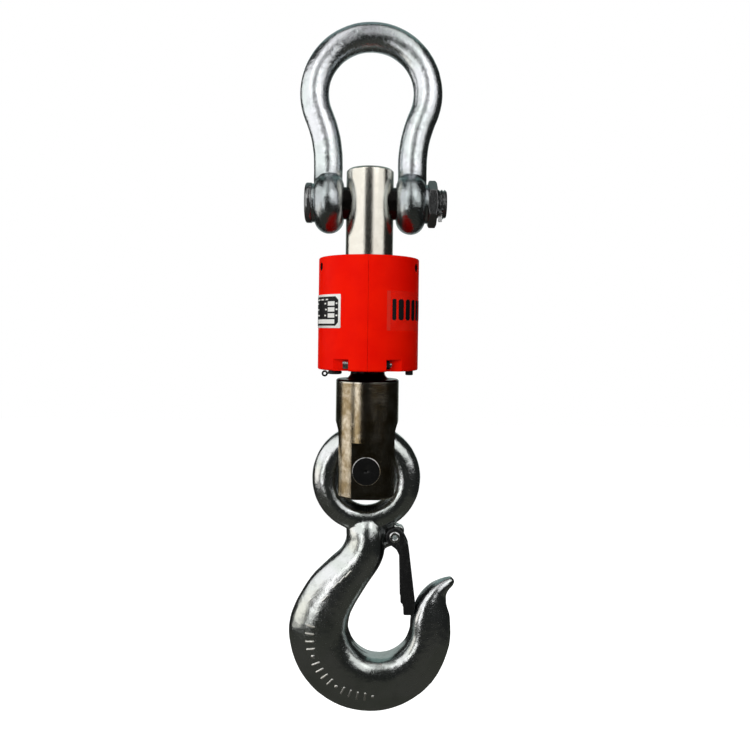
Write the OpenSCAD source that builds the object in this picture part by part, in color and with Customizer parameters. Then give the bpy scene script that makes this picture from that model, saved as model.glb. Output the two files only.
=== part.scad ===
// Crane scale: a bow shackle above, a load cell in a round housing, and a latched eye hook below.
// Millimetres, +Z up, X across the front, Y away from the front.
// The origin is the bearing point at the inside of the shackle's crown.

/* [Shackle] */
// Diameter of the bow's rod
bow_rod_d = 28.7; // [20:0.1:40]
// Radius of the crown, on the rod's centreline
bow_bend_r = 56.7; // [45:0.1:70]
// How far the crown's arc runs on below the horizontal, in degrees
bow_flare = 23.4; // [10:0.1:35]
// Half the distance between the two legs' centrelines
bow_leg_x = 42; // [38:0.5:48]
// Drop from the bearing point to the shackle pin's axis
shackle_pin_drop = 152; // [120:1:180]
// Shackle pin diameter
shackle_pin_d = 32; // [28:0.5:36]
// Radius of each ear
ear_r = 30.5; // [26:0.5:36]
// Thickness of each ear
ear_t = 29.7; // [22:0.1:34]
// Clear gap between the ears
ear_gap = 51.6; // [48.5:0.1:56]
// Shackle pin head diameter
pin_head_d = 39.9; // [36:0.1:46]
// Shackle pin head thickness
pin_head_t = 6.6; // [5:0.1:12]
// Nut thickness
nut_t = 8.6; // [7:0.1:20]
// Nut size across flats
nut_af = 40.9; // [38:0.1:46]
// Angle of the split pin from upright, in degrees
cotter_tilt = 55; // [0:1:90]

/* [Load cell] */
// Spindle diameter above the housing
spindle_d = 47.3; // [40:0.1:50]
// Height of the spindle's top above the shackle pin's axis
spindle_top = 33.4; // [30:0.1:45]
// Gauge waist diameter
waist_d = 36; // [30:0.5:40]
// Neck diameter between housing and fork
neck_d = 34; // [30:0.5:40]
// Fork diameter
fork_d = 62.7; // [56:0.1:70]
// Fork slot width
slot_w = 30; // [29.5:0.1:33]
// Drop from the shackle pin to the hook pin
pin_to_pin = 262.65; // [250:0.05:280]
// Hook pin diameter
hook_pin_d = 28; // [24:0.5:30]
// Width of the flat milled across each cheek
cheek_flat_w = 28.4; // [26:0.2:34]

/* [Housing] */
// Housing diameter
housing_d = 99.75; // [96:0.25:110]
// Housing height
housing_h = 109.8; // [105:0.1:120]
// Drop from the shackle pin to the housing's top
housing_drop = 55.7; // [50:0.1:60]
// Side wall thickness
wall_t = 3; // [2:0.1:4]
// End wall thickness
end_t = 4; // [3:0.1:6]
// Gap left at the seam between the two half shells
seam_gap = 0.2; // [0.1:0.05:0.5]
// Angle of the fixing screws from the front, in degrees
fix_angle = 68; // [60:1:80]

/* [Hook] */
// Hook eye hole diameter
eye_hole_d = 50.6; // [46:0.1:56]
// Hook eye ring thickness
eye_rod_d = 28.7; // [26:0.1:29.2]
// Bowl radius
bowl_r = 31; // [28:0.5:36]
// Radius of the hook's outer curve
back_r = 80.8; // [74:0.1:84]

/* [Latch] */
// Latch sheet thickness
latch_t = 2.6; // [1.5:0.1:3]
// Latch width across its two cheeks
latch_w = 23.6; // [20:0.2:26]

/* [Hidden] */
$fn = 48;

pin_z = -shackle_pin_drop;
spindle_z = pin_z + spindle_top;
hook_pin_z = pin_z - pin_to_pin;
top_z = pin_z - housing_drop;
bot_z = top_z - housing_h;
shell_ri = housing_d / 2 - wall_t;
ear_x = ear_gap / 2 + ear_t / 2;
boss_t = 2.2;
boss_x = ear_gap / 2 + ear_t + boss_t;
thread_r = 14.65;
nut_x = boss_x + nut_t;
cotter_r = 2.1;
flange_r = 30;
flange_top = top_z - end_t - 1.2;
flange_bot = flange_top - 8.8;
fork_top = bot_z - 9.5;
fork_bot = hook_pin_z - 29.85;
slot_root = hook_pin_z + 31.65;
cheek_flat_y = 27;
eye_z = hook_pin_z - (eye_hole_d - hook_pin_d) / 2 + 0.3;
eye_mid_r = eye_hole_d / 2 + eye_rod_d / 2;
bowl_c = [14.65, hook_pin_z - 157.65];
back_c = [5.6, hook_pin_z - 162.4];
latch_p = [29, hook_pin_z - 67.35];
rivet_r = 4.2;
lug_t = 10;
cell_x = 35.5;
socket_p = [-31.5, -23];
button_x = 41.4;
join_y = 42.2;
join_z = bot_z + 6.2;

// ---- shared shapes ----

// Turns a shape built along Z to lie along X, or along Y.
module along_x() {
  rotate([0, 90, 0])
    children();
}

module along_y() {
  rotate([-90, 0, 0])
    children();
}

// Places a shape built along +X on the housing's wall, at an angle from the front.
module at_angle(a, z) {
  translate([0, 0, z])
    rotate([0, 0, a - 90])
      children();
}

// A ring of rectangular section about Z.
module ring(r_out, r_in, z0, z1) {
  translate([0, 0, z0])
    difference() {
      cylinder(r = r_out, h = z1 - z0);
      translate([0, 0, -1])
        cylinder(r = r_in, h = z1 - z0 + 2);
    }
}

function polar(r, a) = [r * cos(a), r * sin(a)];

function arc(c, r, a0, a1, n) = [for (i = [0:n]) c + polar(r, a0 + (a1 - a0) * i / n)];

function unit(v) = v / norm(v);

// Skins a list of closed rings, each with the same number of points.
module skin(rings) {
  n = len(rings[0]);
  m = len(rings);
  pts = [for (r = rings, p = r) p];
  sides = [for (i = [0:m - 2], j = [0:n - 1], k = [0, 1])
    k == 0 ? [i * n + j, (i + 1) * n + j, i * n + (j + 1) % n]
           : [i * n + (j + 1) % n, (i + 1) * n + j, (i + 1) * n + (j + 1) % n]];
  first = [for (j = [1:n - 2]) [0, j, j + 1]];
  last = [for (j = [1:n - 2]) [(m - 1) * n, (m - 1) * n + j + 1, (m - 1) * n + j]];
  polyhedron(points = pts, faces = concat(sides, first, last));
}

// A round wire along a list of points. Its path never runs parallel to `up`.
module wire(path, r, up, n = 8) {
  m = len(path);
  rings = [for (i = [0:m - 1])
    let (
      t = unit(path[min(i + 1, m - 1)] - path[max(i - 1, 0)]),
      s = unit(cross(t, up)),
      b = cross(t, s)
    )
    [for (j = [0:n - 1]) path[i] + r * (s * cos(360 * j / n) + b * sin(360 * j / n))]];
  skin(rings);
}

// A smooth curve through a list of vectors.
function spline(p, steps) =
  let (n = len(p))
  concat(
    [for (i = [0:n - 2], k = [0:steps - 1])
      spline_at(p[max(i - 1, 0)], p[i], p[i + 1], p[min(i + 2, n - 1)], k / steps)],
    [p[n - 1]]
  );

function spline_at(a, b, c, d, t) =
  0.5 * (2 * b + (c - a) * t + (2 * a - 5 * b + 4 * c - d) * t * t + (3 * b - a - 3 * c + d) * t * t * t);

// ---- shackle ----

// The rod's centreline on one side, from the top of the crown down into the ear.
function bow_half() =
  let (
    bend_r = (bow_bend_r * cos(bow_flare) - bow_leg_x) / (1 - cos(bow_flare)),
    reach = bow_bend_r + bend_r,
    crown_z = bow_rod_d / 2 - bow_bend_r,
    turn = [reach * cos(bow_flare), crown_z - reach * sin(bow_flare)]
  )
  concat(
    arc([0, crown_z], bow_bend_r, 90, -bow_flare, 18),
    [for (i = [1:5]) turn - bend_r * [cos(bow_flare * (1 - i / 5)), -sin(bow_flare * (1 - i / 5))]],
    [[bow_leg_x, pin_z + 8]]
  );

module bow_rod() {
  half = bow_half();
  last = len(half) - 1;
  path = concat([for (i = [last:-1:1]) [-half[i][0], 0, half[i][1]]], [for (p = half) [p[0], 0, p[1]]]);
  wire(path, bow_rod_d / 2, [0, 1, 0], 28);
}

// An ear: a disc about X with a rounded rim, and a flat boss outside.
module ear() {
  rim = ear_t / 2 - 0.05;
  translate([ear_x, 0, pin_z])
    along_x()
      rotate_extrude($fn = 96)
        polygon(concat(
          [[0, -ear_t / 2]],
          arc([ear_r - rim, rim - ear_t / 2], rim, -90, 0, 10),
          arc([ear_r - rim, ear_t / 2 - rim], rim, 0, 90, 10),
          [[0, ear_t / 2]]
        ));
  translate([ear_gap / 2 + ear_t - 4, 0, pin_z])
    along_x()
      cylinder(d = 38.5, h = 4 + boss_t);
}

module shackle_bow() {
  color("LightSteelBlue")
    difference() {
      union() {
        bow_rod();
        ear();
        mirror([1, 0, 0])
          ear();
      }
      translate([-80, 0, pin_z])
        along_x()
          cylinder(d = shackle_pin_d + 0.6, h = 160);
    }
}

module shackle_pin() {
  end_x = nut_x + 9.7;
  color("DimGray")
    difference() {
      translate([0, 0, pin_z])
        along_x()
          rotate_extrude($fn = 96)
            polygon([
              [0, -boss_x - pin_head_t],
              [pin_head_d / 2 - 1.2, -boss_x - pin_head_t],
              [pin_head_d / 2, -boss_x - pin_head_t + 1.2],
              [pin_head_d / 2, -boss_x],
              [shackle_pin_d / 2, -boss_x],
              [shackle_pin_d / 2, boss_x - 0.4],
              [thread_r, boss_x - 0.1],
              [thread_r, end_x - 1.6],
              [thread_r - 1.6, end_x],
              [0, end_x]
            ]);
      translate([nut_x + 2.4, 0, pin_z])
        rotate([-cotter_tilt, 0, 0])
          cylinder(r = cotter_r + 0.3, h = 60, center = true);
    }
}

module shackle_nut() {
  color("DimGray")
    translate([boss_x, 0, pin_z])
      difference() {
        intersection() {
          rotate([3, 0, 0])
            along_x()
              cylinder(r = nut_af / 2 / cos(30), h = nut_t, $fn = 6);
          along_x()
            rotate_extrude($fn = 96)
              polygon([
                [0, 0],
                [nut_af / 2 + 1, 0],
                [nut_af / 2 + 4, 1.7],
                [nut_af / 2 + 4, nut_t - 1.7],
                [nut_af / 2 + 1, nut_t],
                [0, nut_t]
              ]);
        }
        translate([-1, 0, 0])
          along_x()
            cylinder(r = thread_r + 0.05, h = nut_t + 2);
      }
}

// The split pin's line: through the thread, then bent down outside it.
function split_pin_path() =
  let (
    leg_r = 7,
    turn = 50,
    foot = thread_r + 3
  )
  concat(
    [[0, 0, foot], [0, 0, 0]],
    [for (i = [0:5]) [0, leg_r * (1 - cos(turn * i / 5)), -foot - leg_r * sin(turn * i / 5)]],
    [[0, leg_r * (1 - cos(turn)) + 5 * sin(turn), -foot - leg_r * sin(turn) - 5 * cos(turn)]]
  );

module shackle_split_pin() {
  eye_r = 3.6;
  color("Silver")
    translate([nut_x + 2.4, 0, pin_z])
      rotate([-cotter_tilt, 0, 0])
        union() {
          wire(split_pin_path(), cotter_r, [1, 0, 0], 16);
          translate([0, 0, thread_r + 3 + eye_r])
            along_x()
              rotate_extrude($fn = 48)
                translate([eye_r, 0])
                  circle(r = 1.3);
        }
}

// ---- load cell ----

// The spindle's half outline, from its top down to the fork's foot.
function spindle_outline() =
  let (
    r = spindle_d / 2,
    rw = waist_d / 2,
    rn = neck_d / 2,
    rf = fork_d / 2
  )
  concat(
    [[0, fork_bot], [rf - 1.5, fork_bot], [rf, fork_bot + 1.5], [rf, fork_top - 1.5]],
    [[rf - 1.5, fork_top]],
    arc([rn + 4, fork_top + 4], 4, -90, -180, 6),
    [[rn, bot_z + 7], [21, bot_z + 7], [21, flange_bot - 67]],
    arc([rw + 5, flange_bot - 62], 5, -127, -180, 4),
    arc([rw + 5, flange_bot - 21], 5, 180, 143, 4),
    [[22, flange_bot - 15], [22, flange_bot], [flange_r, flange_bot], [flange_r, flange_top]],
    [[r, flange_top], [r, spindle_z - 2.2], [r - 2.2, spindle_z], [0, spindle_z]]
  );

module load_spindle() {
  color("Tan")
    difference() {
      rotate_extrude($fn = 120)
        polygon(spindle_outline());
      // shackle pin bore
      translate([-40, 0, pin_z])
        along_x()
          cylinder(d = shackle_pin_d + 0.12, h = 80);
      // slot for the hook's eye, with a full round root
      translate([-40, 0, slot_root])
        along_x()
          cylinder(d = slot_w, h = 80);
      translate([-40, -slot_w / 2, fork_bot - 5])
        cube([80, slot_w, slot_root - fork_bot + 5]);
      // hook pin bore
      translate([0, -40, hook_pin_z])
        along_y()
          cylinder(d = hook_pin_d + 0.1, h = 80);
      for (s = [-1, 1]) {
        // flats across the cheeks
        translate([-cheek_flat_w / 2, s > 0 ? cheek_flat_y : -cheek_flat_y - 20, fork_bot - 5])
          cube([cheek_flat_w, 20, 62.3]);
        // gauge flats on the waist
        translate([-25, s > 0 ? 15.5 : -35.5, flange_bot - 58])
          cube([50, 20, 33]);
        // bracket screw holes
        translate([8 * s, 24.4, flange_bot - 1])
          cylinder(r = 1.3, h = 7);
        // shell fixing screw holes
        for (b = [0, 180])
          at_angle(b + fix_angle * s, flange_bot + 4.4)
            translate([22, 0, 0])
              along_x()
                cylinder(r = 2.1, h = 20);
      }
      // lock screw hole in the rear cheek
      translate([8, 21, hook_pin_z])
        along_x()
          cylinder(r = 3.05, h = 30);
    }
}

module strain_gauges() {
  color("Goldenrod")
    for (sx = [-1, 1], sy = [-1, 1])
      translate([sx * 5 - 3.5, sy > 0 ? 15.5 : -15.9, flange_bot - 50])
        cube([7, 0.4, 13]);
}

module gauge_cover() {
  color("DarkSlateGray")
    difference() {
      ring(21, waist_d / 2 + 0.1, flange_bot - 60, flange_bot - 23);
      translate([0, 10, flange_bot - 42])
        along_y()
          cylinder(r = 4.4, h = 20);
    }
}

module gauge_wires() {
  color("Green")
    for (k = [-1.5:1:1.5])
      wire(
        [for (i = [0:10])
          [k * (1.1 + i / 12), 17.4 + 1.14 * i, flange_bot - 42 - 12 * (1 - cos(18 * i)) / 2]],
        0.45, [1, 0, 0], 6
      );
}

module hook_pin() {
  color("Gray")
    difference() {
      translate([0, 0, hook_pin_z])
        along_y()
          rotate_extrude($fn = 96)
            polygon([
              [0, -cheek_flat_y],
              [hook_pin_d / 2 - 0.7, -cheek_flat_y],
              [hook_pin_d / 2, -cheek_flat_y + 0.7],
              [hook_pin_d / 2, cheek_flat_y - 0.7],
              [hook_pin_d / 2 - 0.7, cheek_flat_y],
              [0, cheek_flat_y]
            ]);
      translate([0, -cheek_flat_y - 1, hook_pin_z])
        along_y()
          cylinder(r = 1.6, h = 4);
      translate([11, 21, hook_pin_z])
        along_x()
          cylinder(r = 3.1, h = 20);
    }
}

module hook_pin_screw() {
  color("DimGray")
    difference() {
      translate([11.4, 21, hook_pin_z])
        along_x()
          cylinder(r = 3, h = 11);
      translate([19, 21, hook_pin_z])
        along_x()
          cylinder(r = 1.7, h = 6, $fn = 6);
    }
}

// ---- housing ----

// A side boss of one fixing screw, from the wall to the spindle's flange.
module fix_boss(a) {
  at_angle(a, flange_bot + 4.4)
    translate([flange_r + 0.3, 0, 0])
      along_x()
        cylinder(r = 6, h = shell_ri + 1 - flange_r - 0.3);
}

module fix_hole(a) {
  at_angle(a, flange_bot + 4.4) {
    translate([20, 0, 0])
      along_x()
        cylinder(r = 2.3, h = 20);
    translate([36, 0, 0])
      along_x()
        cylinder(r = 4.1, h = 20);
  }
}

// The block inside the wall that takes a joining screw.
module join_block(s) {
  intersection() {
    translate([-17.8, s > 0 ? 34 : -48, bot_z + 0.5])
      cube([35.6, 14, 14]);
    translate([0, 0, bot_z])
      cylinder(r = shell_ri + 1, h = 20, $fn = 96);
  }
}

// The pocket beside it, open below and outward, with a rounded far end.
module join_pocket(s, side) {
  x0 = side > 0 ? 17.8 : -17.8 - 12;
  translate([x0, s > 0 ? 37.8 : -57.8, bot_z - 1])
    cube([12, 20, 12.3]);
  translate([side * (17.8 + 12), s > 0 ? 37.8 : -57.8, bot_z + 4.3])
    along_y()
      cylinder(r = 7, h = 20);
  translate([side > 0 ? 29.8 : -36.8, s > 0 ? 37.8 : -57.8, bot_z - 1])
    cube([7, 20, 5.3]);
}

// The pocket's own inner wall.
module join_pocket_wall(s, side) {
  x0 = side > 0 ? 16.8 : -39;
  intersection() {
    translate([x0, s > 0 ? 36 : -48, bot_z + 0.5])
      cube([22.2, 12, 13.5]);
    translate([0, 0, bot_z])
      cylinder(r = shell_ri + 1, h = 20, $fn = 96);
  }
}

module shell() {
  ro = housing_d / 2;
  difference() {
    union() {
      difference() {
        rotate_extrude($fn = 120)
          polygon(concat(
            [[0, bot_z]],
            arc([ro - 1.5, bot_z + 1.5], 1.5, -90, 0, 4),
            arc([ro - 1.5, top_z - 1.5], 1.5, 0, 90, 4),
            [[0, top_z]]
          ));
        translate([0, 0, bot_z + end_t])
          cylinder(r = shell_ri, h = housing_h - 2 * end_t);
      }
      for (a = [fix_angle, -fix_angle, 180 - fix_angle, 180 + fix_angle])
        fix_boss(a);
      for (s = [-1, 1]) {
        join_block(s);
        join_pocket_wall(s, -1);
        join_pocket_wall(s, 1);
      }
    }
    translate([0, 0, top_z - end_t - 1])
      cylinder(d = spindle_d + 0.6, h = end_t + 2);
    translate([0, 0, bot_z - 1])
      cylinder(d = neck_d + 0.8, h = end_t + 2);
    for (a = [fix_angle, -fix_angle, 180 - fix_angle, 180 + fix_angle])
      fix_hole(a);
    for (s = [-1, 1]) {
      join_pocket(s, -1);
      join_pocket(s, 1);
      translate([-25, s * join_y, join_z])
        along_x()
          cylinder(r = 2.1, h = 50);
    }
    translate([socket_p[0], socket_p[1], bot_z - 1])
      cylinder(r = 5.1, h = end_t + 2);
    translate([button_x, 0, bot_z - 1])
      cylinder(r = 4.15, h = end_t + 2);
  }
}

module half_shell(side) {
  intersection() {
    shell();
    translate([side > 0 ? seam_gap / 2 : -60 - seam_gap / 2, -60, bot_z - 5])
      cube([60, 120, housing_h + 10]);
  }
}

module housing_left() {
  color("OrangeRed")
    half_shell(-1);
}

module housing_right() {
  color("OrangeRed")
    half_shell(1);
}

module shell_join_screws() {
  color("Silver")
    for (s = [-1, 1])
      translate([0, s * join_y, join_z])
        difference() {
          union() {
            translate([-18.1 - 5, 0, 0])
              along_x()
                cylinder(r = 4, h = 5);
            translate([-19, 0, 0])
              along_x()
                cylinder(r = 1.95, h = 42);
          }
          translate([-24, 0, 0])
            along_x()
              cylinder(r = 1.7, h = 3.5, $fn = 6);
        }
}

module shell_join_nuts() {
  color("DimGray")
    for (s = [-1, 1])
      translate([18.1, s * join_y, join_z])
        difference() {
          along_x()
            cylinder(r = 4, h = 3.2, $fn = 6);
          translate([-1, 0, 0])
            along_x()
              cylinder(r = 2, h = 6);
        }
}

module shell_fixing_screws() {
  color("DimGray")
    for (a = [fix_angle, -fix_angle, 180 - fix_angle, 180 + fix_angle])
      at_angle(a, flange_bot + 4.4)
        difference() {
          union() {
            translate([36.1, 0, 0])
              along_x()
                cylinder(r = 3.6, h = 4);
            translate([23.5, 0, 0])
              along_x()
                cylinder(r = 2, h = 13);
          }
          translate([38, 0, 0])
            along_x()
              cylinder(r = 1.7, h = 4, $fn = 6);
        }
}

module top_seal() {
  color("Black")
    ring(29, spindle_d / 2 + 0.05, flange_top, top_z - end_t);
}

module bottom_seal() {
  color("Black")
    ring(24, neck_d / 2 + 0.05, bot_z + end_t, bot_z + 7);
}

// A thin curved plate on the housing's wall, between two angles from the front.
module wall_plate(a0, a1, z0, z1, r0, r1) {
  translate([0, 0, z0])
    rotate([0, 0, a0 - 90])
      rotate_extrude(angle = a1 - a0, $fn = 180)
        translate([r0, 0])
          square([r1 - r0, z1 - z0]);
}

module nameplate() {
  color("White")
    wall_plate(-92, -31, bot_z + 40.5, bot_z + 72.7, housing_d / 2 + 0.02, housing_d / 2 + 0.5);
}

module capacity_label() {
  color("WhiteSmoke")
    wall_plate(20.6, 100, bot_z + 38.5, bot_z + 76.5, housing_d / 2 + 0.02, housing_d / 2 + 0.2);
}

// ---- electronics ----

module board_bracket() {
  color("Silver")
    difference() {
      union() {
        translate([-12, 22.3, flange_bot - 1.5])
          cube([24, 5.1, 1.5]);
        translate([-14, 25.9, flange_bot - 84])
          cube([28, 1.5, 84]);
      }
      for (s = [-1, 1]) {
        translate([8 * s, 24.4, flange_bot - 3])
          cylinder(r = 1.6, h = 5);
        for (z = [-12, -78])
          translate([10 * s, 20, flange_bot + z])
            along_y()
              cylinder(r = 1.3, h = 12);
      }
      translate([-5, 20, flange_bot - 60])
        cube([10, 12, 16]);
    }
}

module bracket_screws() {
  color("DimGray")
    for (s = [-1, 1])
      translate([8 * s, 24.4, 0]) {
        translate([0, 0, flange_bot - 3.1])
          cylinder(r = 1.45, h = 1.6);
        translate([0, 0, flange_bot - 2])
          cylinder(r = 1.25, h = 7);
      }
}

module main_board() {
  color("DarkGreen")
    difference() {
      translate([-27, 30.4, flange_bot - 82])
        cube([54, 1.6, 76]);
      for (s = [-1, 1], z = [-12, -78])
        translate([10 * s, 28, flange_bot + z])
          along_y()
            cylinder(r = 1.4, h = 6);
    }
}

module board_components() {
  color("DarkSlateGray") {
    translate([-8, 32, flange_bot - 52])
      cube([12, 1.6, 12]);
    translate([-6, 32, flange_bot - 68])
      cube([8, 1.4, 6]);
    translate([16, 32, flange_bot - 76])
      cube([9, 4, 6]);
    translate([18, 32, flange_bot - 66])
      cube([6, 2.2, 5]);
    translate([-24, 32, flange_bot - 76])
      cube([7, 5, 7]);
    translate([-1, 29, flange_bot - 60])
      cube([4, 1.4, 8]);
    for (x = [9, 13.5])
      translate([x, 32, flange_bot - 58])
        along_y()
          cylinder(r = 1.9, h = 5);
  }
}

module board_spacers() {
  color("Gold")
    for (s = [-1, 1], z = [-12, -78])
      translate([10 * s, 27.4, flange_bot + z])
        along_y()
          difference() {
            cylinder(r = 2.5, h = 3);
            translate([0, 0, -1])
              cylinder(r = 1.4, h = 5);
          }
}

module board_screws() {
  color("Silver")
    for (s = [-1, 1], z = [-12, -78])
      translate([10 * s, 0, flange_bot + z]) {
        translate([0, 32, 0])
          along_y()
            cylinder(r = 2.3, h = 1.5);
        translate([0, 26, 0])
          along_y()
            cylinder(r = 1.2, h = 6.5);
      }
}

module radio_module() {
  color("SteelBlue")
    translate([13, 32, flange_bot - 42])
      cube([13, 3, 26]);
}

module radio_antenna() {
  color("Black")
    union() {
      translate([-20, 36.5, flange_bot - 62])
        cylinder(r = 2.4, h = 46);
      translate([-23, 32, flange_bot - 66])
        cube([6, 7, 4.5]);
    }
}

module battery_cells() {
  color("RoyalBlue")
    for (s = [-1, 1])
      translate([cell_x * s, 0, flange_bot - 75.5]) {
        cylinder(r = 9.1, h = 64);
        cylinder(r = 3, h = 65.2);
      }
}

module battery_holders() {
  color("Black")
    for (s = [-1, 1])
      translate([cell_x * s, 0, flange_bot - 78])
        difference() {
          cylinder(r = 10.8, h = 70);
          translate([0, 0, 2.4])
            cylinder(r = 9.3, h = 65.4);
          translate([s > 0 ? -20 : 3, -15, 8])
            cube([17, 30, 54]);
        }
}

module battery_wires() {
  color("Red")
    for (s = [-1, 1])
      wire(
        [for (i = [0:12])
          [
            s * (cell_x - 1 - 1.02 * i),
            4 + 2.1 * i,
            flange_bot - 6.8 - 1.6 * max(0, i / 6 - 1)
          ]],
        0.8, [0, 0, 1], 6
      );
}

module charging_socket() {
  color("Black")
    translate([socket_p[0], socket_p[1], 0])
      difference() {
        union() {
          translate([0, 0, bot_z - 0.8])
            cylinder(r = 6.2, h = 0.8);
          translate([0, 0, bot_z - 0.5])
            cylinder(r = 5, h = 8.5);
          translate([0, 0, bot_z + 7.5])
            cylinder(r = 6, h = 7.5);
        }
        difference() {
          translate([0, 0, bot_z - 3])
            cylinder(r = 3.95, h = 12);
          translate([0, 0, bot_z + 0.5])
            cylinder(r = 1, h = 12);
        }
      }
}

module charging_socket_nut() {
  color("Silver")
    translate([socket_p[0], socket_p[1], bot_z + end_t])
      difference() {
        cylinder(r = 7, h = 3, $fn = 6);
        translate([0, 0, -1])
          cylinder(r = 5.05, h = 5);
      }
}

module charging_cap() {
  cap_top = bot_z - 1.1;
  color("Black")
    translate([socket_p[0], socket_p[1], 0])
      union() {
        difference() {
          union() {
            translate([0, 0, cap_top - 2.8])
              cylinder(r = 6.75, h = 2.8);
            translate([0, 0, cap_top - 1])
              cylinder(r = 3.6, h = 8.5);
          }
          translate([0, 0, cap_top + 0.2])
            cylinder(r = 1.5, h = 9);
        }
        // pull strap and its finger loop
        translate([-8.2, -1.4, cap_top - 2.7])
          cube([4, 2.8, 1.6]);
        translate([-9.8, 0, cap_top - 2.2])
          along_y()
            rotate_extrude($fn = 48)
              translate([2.3, 0])
                circle(r = 0.75);
      }
}

module switch_body() {
  color("Black")
    difference() {
      translate([button_x - 5.9, -5.6, bot_z + end_t])
        cube([10.6, 11.2, 12.4]);
      translate([button_x, 0, bot_z + end_t - 1])
        cylinder(r = 4.65, h = 9);
      translate([button_x, 0, bot_z + end_t + 5])
        cylinder(r = 2, h = 5.5);
    }
}

module power_button() {
  color("Black")
    translate([button_x, 0, 0]) {
      translate([0, 0, bot_z - 5.5])
        cylinder(r1 = 3.3, r2 = 3.8, h = 0.6, $fn = 48);
      translate([0, 0, bot_z - 5])
        cylinder(r = 3.8, h = 10.3);
      translate([0, 0, bot_z + end_t + 0.3])
        cylinder(r = 4.25, h = 1.6);
      translate([0, 0, bot_z + 5])
        cylinder(r = 1.6, h = 6.4);
    }
}

// ---- hook ----

// One station across the hook: its inner edge, its outer edge and its half thickness.
function station(xi, dzi, xo, dzo, b) = [xi, hook_pin_z - dzi, xo, hook_pin_z - dzo, b];

// A station on the bowl, at an angle about the two curves' centres.
function bowl_station(a, b) = [
  bowl_c[0] + bowl_r * cos(a), bowl_c[1] + bowl_r * sin(a),
  back_c[0] + back_r * cos(a), back_c[1] + back_r * sin(a), b
];

hook_stations = concat(
  [station(14, 43, -14, 43, 10.5), station(20.5, 50, -20.5, 50, 15.6)],
  [station(21, 60, -21, 60, 19), station(19.3, 71, -19.3, 72, 21)],
  [station(19, 85, -24.4, 82, 21.4), station(14.6, 97.5, -36.7, 93.5, 21.2)],
  [station(6.1, 110, -52, 109, 21), station(-4.7, 127.5, -64.6, 128.5, 21)],
  [station(-13.4, 144, -72.4, 146, 21.2)],
  [for (a = [180:15:330]) bowl_station(a, 21.6 - 0.02 * (a - 180))],
  [bowl_station(350, 17.8), station(46.4, 149, 85.3, 151, 16.6)],
  [station(50.1, 138, 82.3, 139.5, 15.2), station(53.2, 131, 81.2, 132, 13.8)],
  [station(58.4, 123.6, 81.4, 126.5, 11.8), station(66.5, 116, 84.2, 121.6, 9.4)],
  [station(76.5, 111.2, 88, 117.8, 6.6), station(85.4, 108.6, 89.8, 113, 3.6)]
);

// The outline at a station: an oval, a little fuller on the bowl side.
function hook_ring(s, n) =
  let (
    c = [(s[0] + s[2]) / 2, (s[1] + s[3]) / 2],
    h = [(s[2] - s[0]) / 2, (s[3] - s[1]) / 2]
  )
  [for (j = [0:n - 1])
    let (q = 360 * j / n)
    [c[0] + h[0] * cos(q), s[4] * sin(q) * (1 - 0.13 * cos(q)), c[1] + h[1] * cos(q)]];

module hook() {
  color("LightSteelBlue")
    difference() {
      union() {
        skin([for (s = spline(hook_stations, 4)) hook_ring(s, 22)]);
        translate([0, 0, eye_z])
          along_y()
            rotate_extrude($fn = 96)
              translate([eye_mid_r, 0])
                circle(d = eye_rod_d);
        // latch lug, with its stop
        translate([latch_p[0], lug_t / 2, latch_p[1]])
          rotate([90, 0, 0])
            union() {
              cylinder(r = 8.4, h = lug_t);
              linear_extrude(lug_t)
                polygon([[-16, 14], [-13, -15], [2, -8.5], [9.5, 1], [10.2, 6], [6, 10], [1.5, 9.6]]);
            }
      }
      translate([latch_p[0], -20, latch_p[1]])
        along_y()
          cylinder(r = rivet_r + 0.05, h = 40);
    }
}

module latch_rivet() {
  half = latch_w / 2;
  color("Silver")
    translate([latch_p[0], 0, latch_p[1]])
      difference() {
        along_y()
          union() {
            cylinder(r = rivet_r, h = latch_w + 1.6, center = true);
            for (s = [-1, 1])
              translate([0, 0, s * (half + 0.85)])
                cylinder(r = 5.6, h = 1.1, center = true);
          }
        along_y()
          cylinder(r = 2.3, h = 60, center = true);
      }
}

// The latch seen from the side, measured from its pivot.
latch_edge = [
  [-4, -8], [1.8, -12.3], [5, -19], [6.3, -64.2], [9, -66.7], [9.4, -76.7], [18.4, -76.7],
  [20, -73.6], [20.9, -64], [13.9, -9.6], [11.5, -4.5], [9, 0], [7, 5.4], [2, 8.7]
];

module latch() {
  half = latch_w / 2;
  color("Black")
    translate([latch_p[0], 0, latch_p[1]])
      difference() {
        rotate([90, 0, 0])
          translate([0, 0, -half])
            union() {
              cylinder(r = 9, h = latch_w);
              linear_extrude(latch_w)
                polygon(latch_edge);
            }
        // the channel between the cheeks, open toward the shank
        rotate([90, 0, 0])
          translate([0, 0, latch_t - half])
            linear_extrude(latch_w - 2 * latch_t)
              polygon([
                [-12, 12], [-12, -80], [16.2, -80], [17.4, -73.6],
                [18.2, -64], [11.3, -9.6], [20, -9.6], [20, 12]
              ]);
        along_y()
          cylinder(r = rivet_r + 0.06, h = 60, center = true);
      }
}

// One side's coil about the pivot, from the lug outward.
module spring_coil(side) {
  mean_r = 5.9;
  turns = 2;
  steps = 20 * turns;
  y0 = lug_t / 2 + 0.9;
  start = -75;
  coil = [for (i = [0:steps])
    let (a = start - 360 * turns * i / steps)
    [mean_r * cos(a), side * (y0 + 1.25 * i / 20), mean_r * sin(a)]];
  wire(coil, 0.55, [0, 1, 0], 8);
}

module latch_spring() {
  color("Silver")
    translate([latch_p[0], 0, latch_p[1]])
      for (side = [-1, 1])
        spring_coil(side);
}

// ---- the part ----

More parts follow.
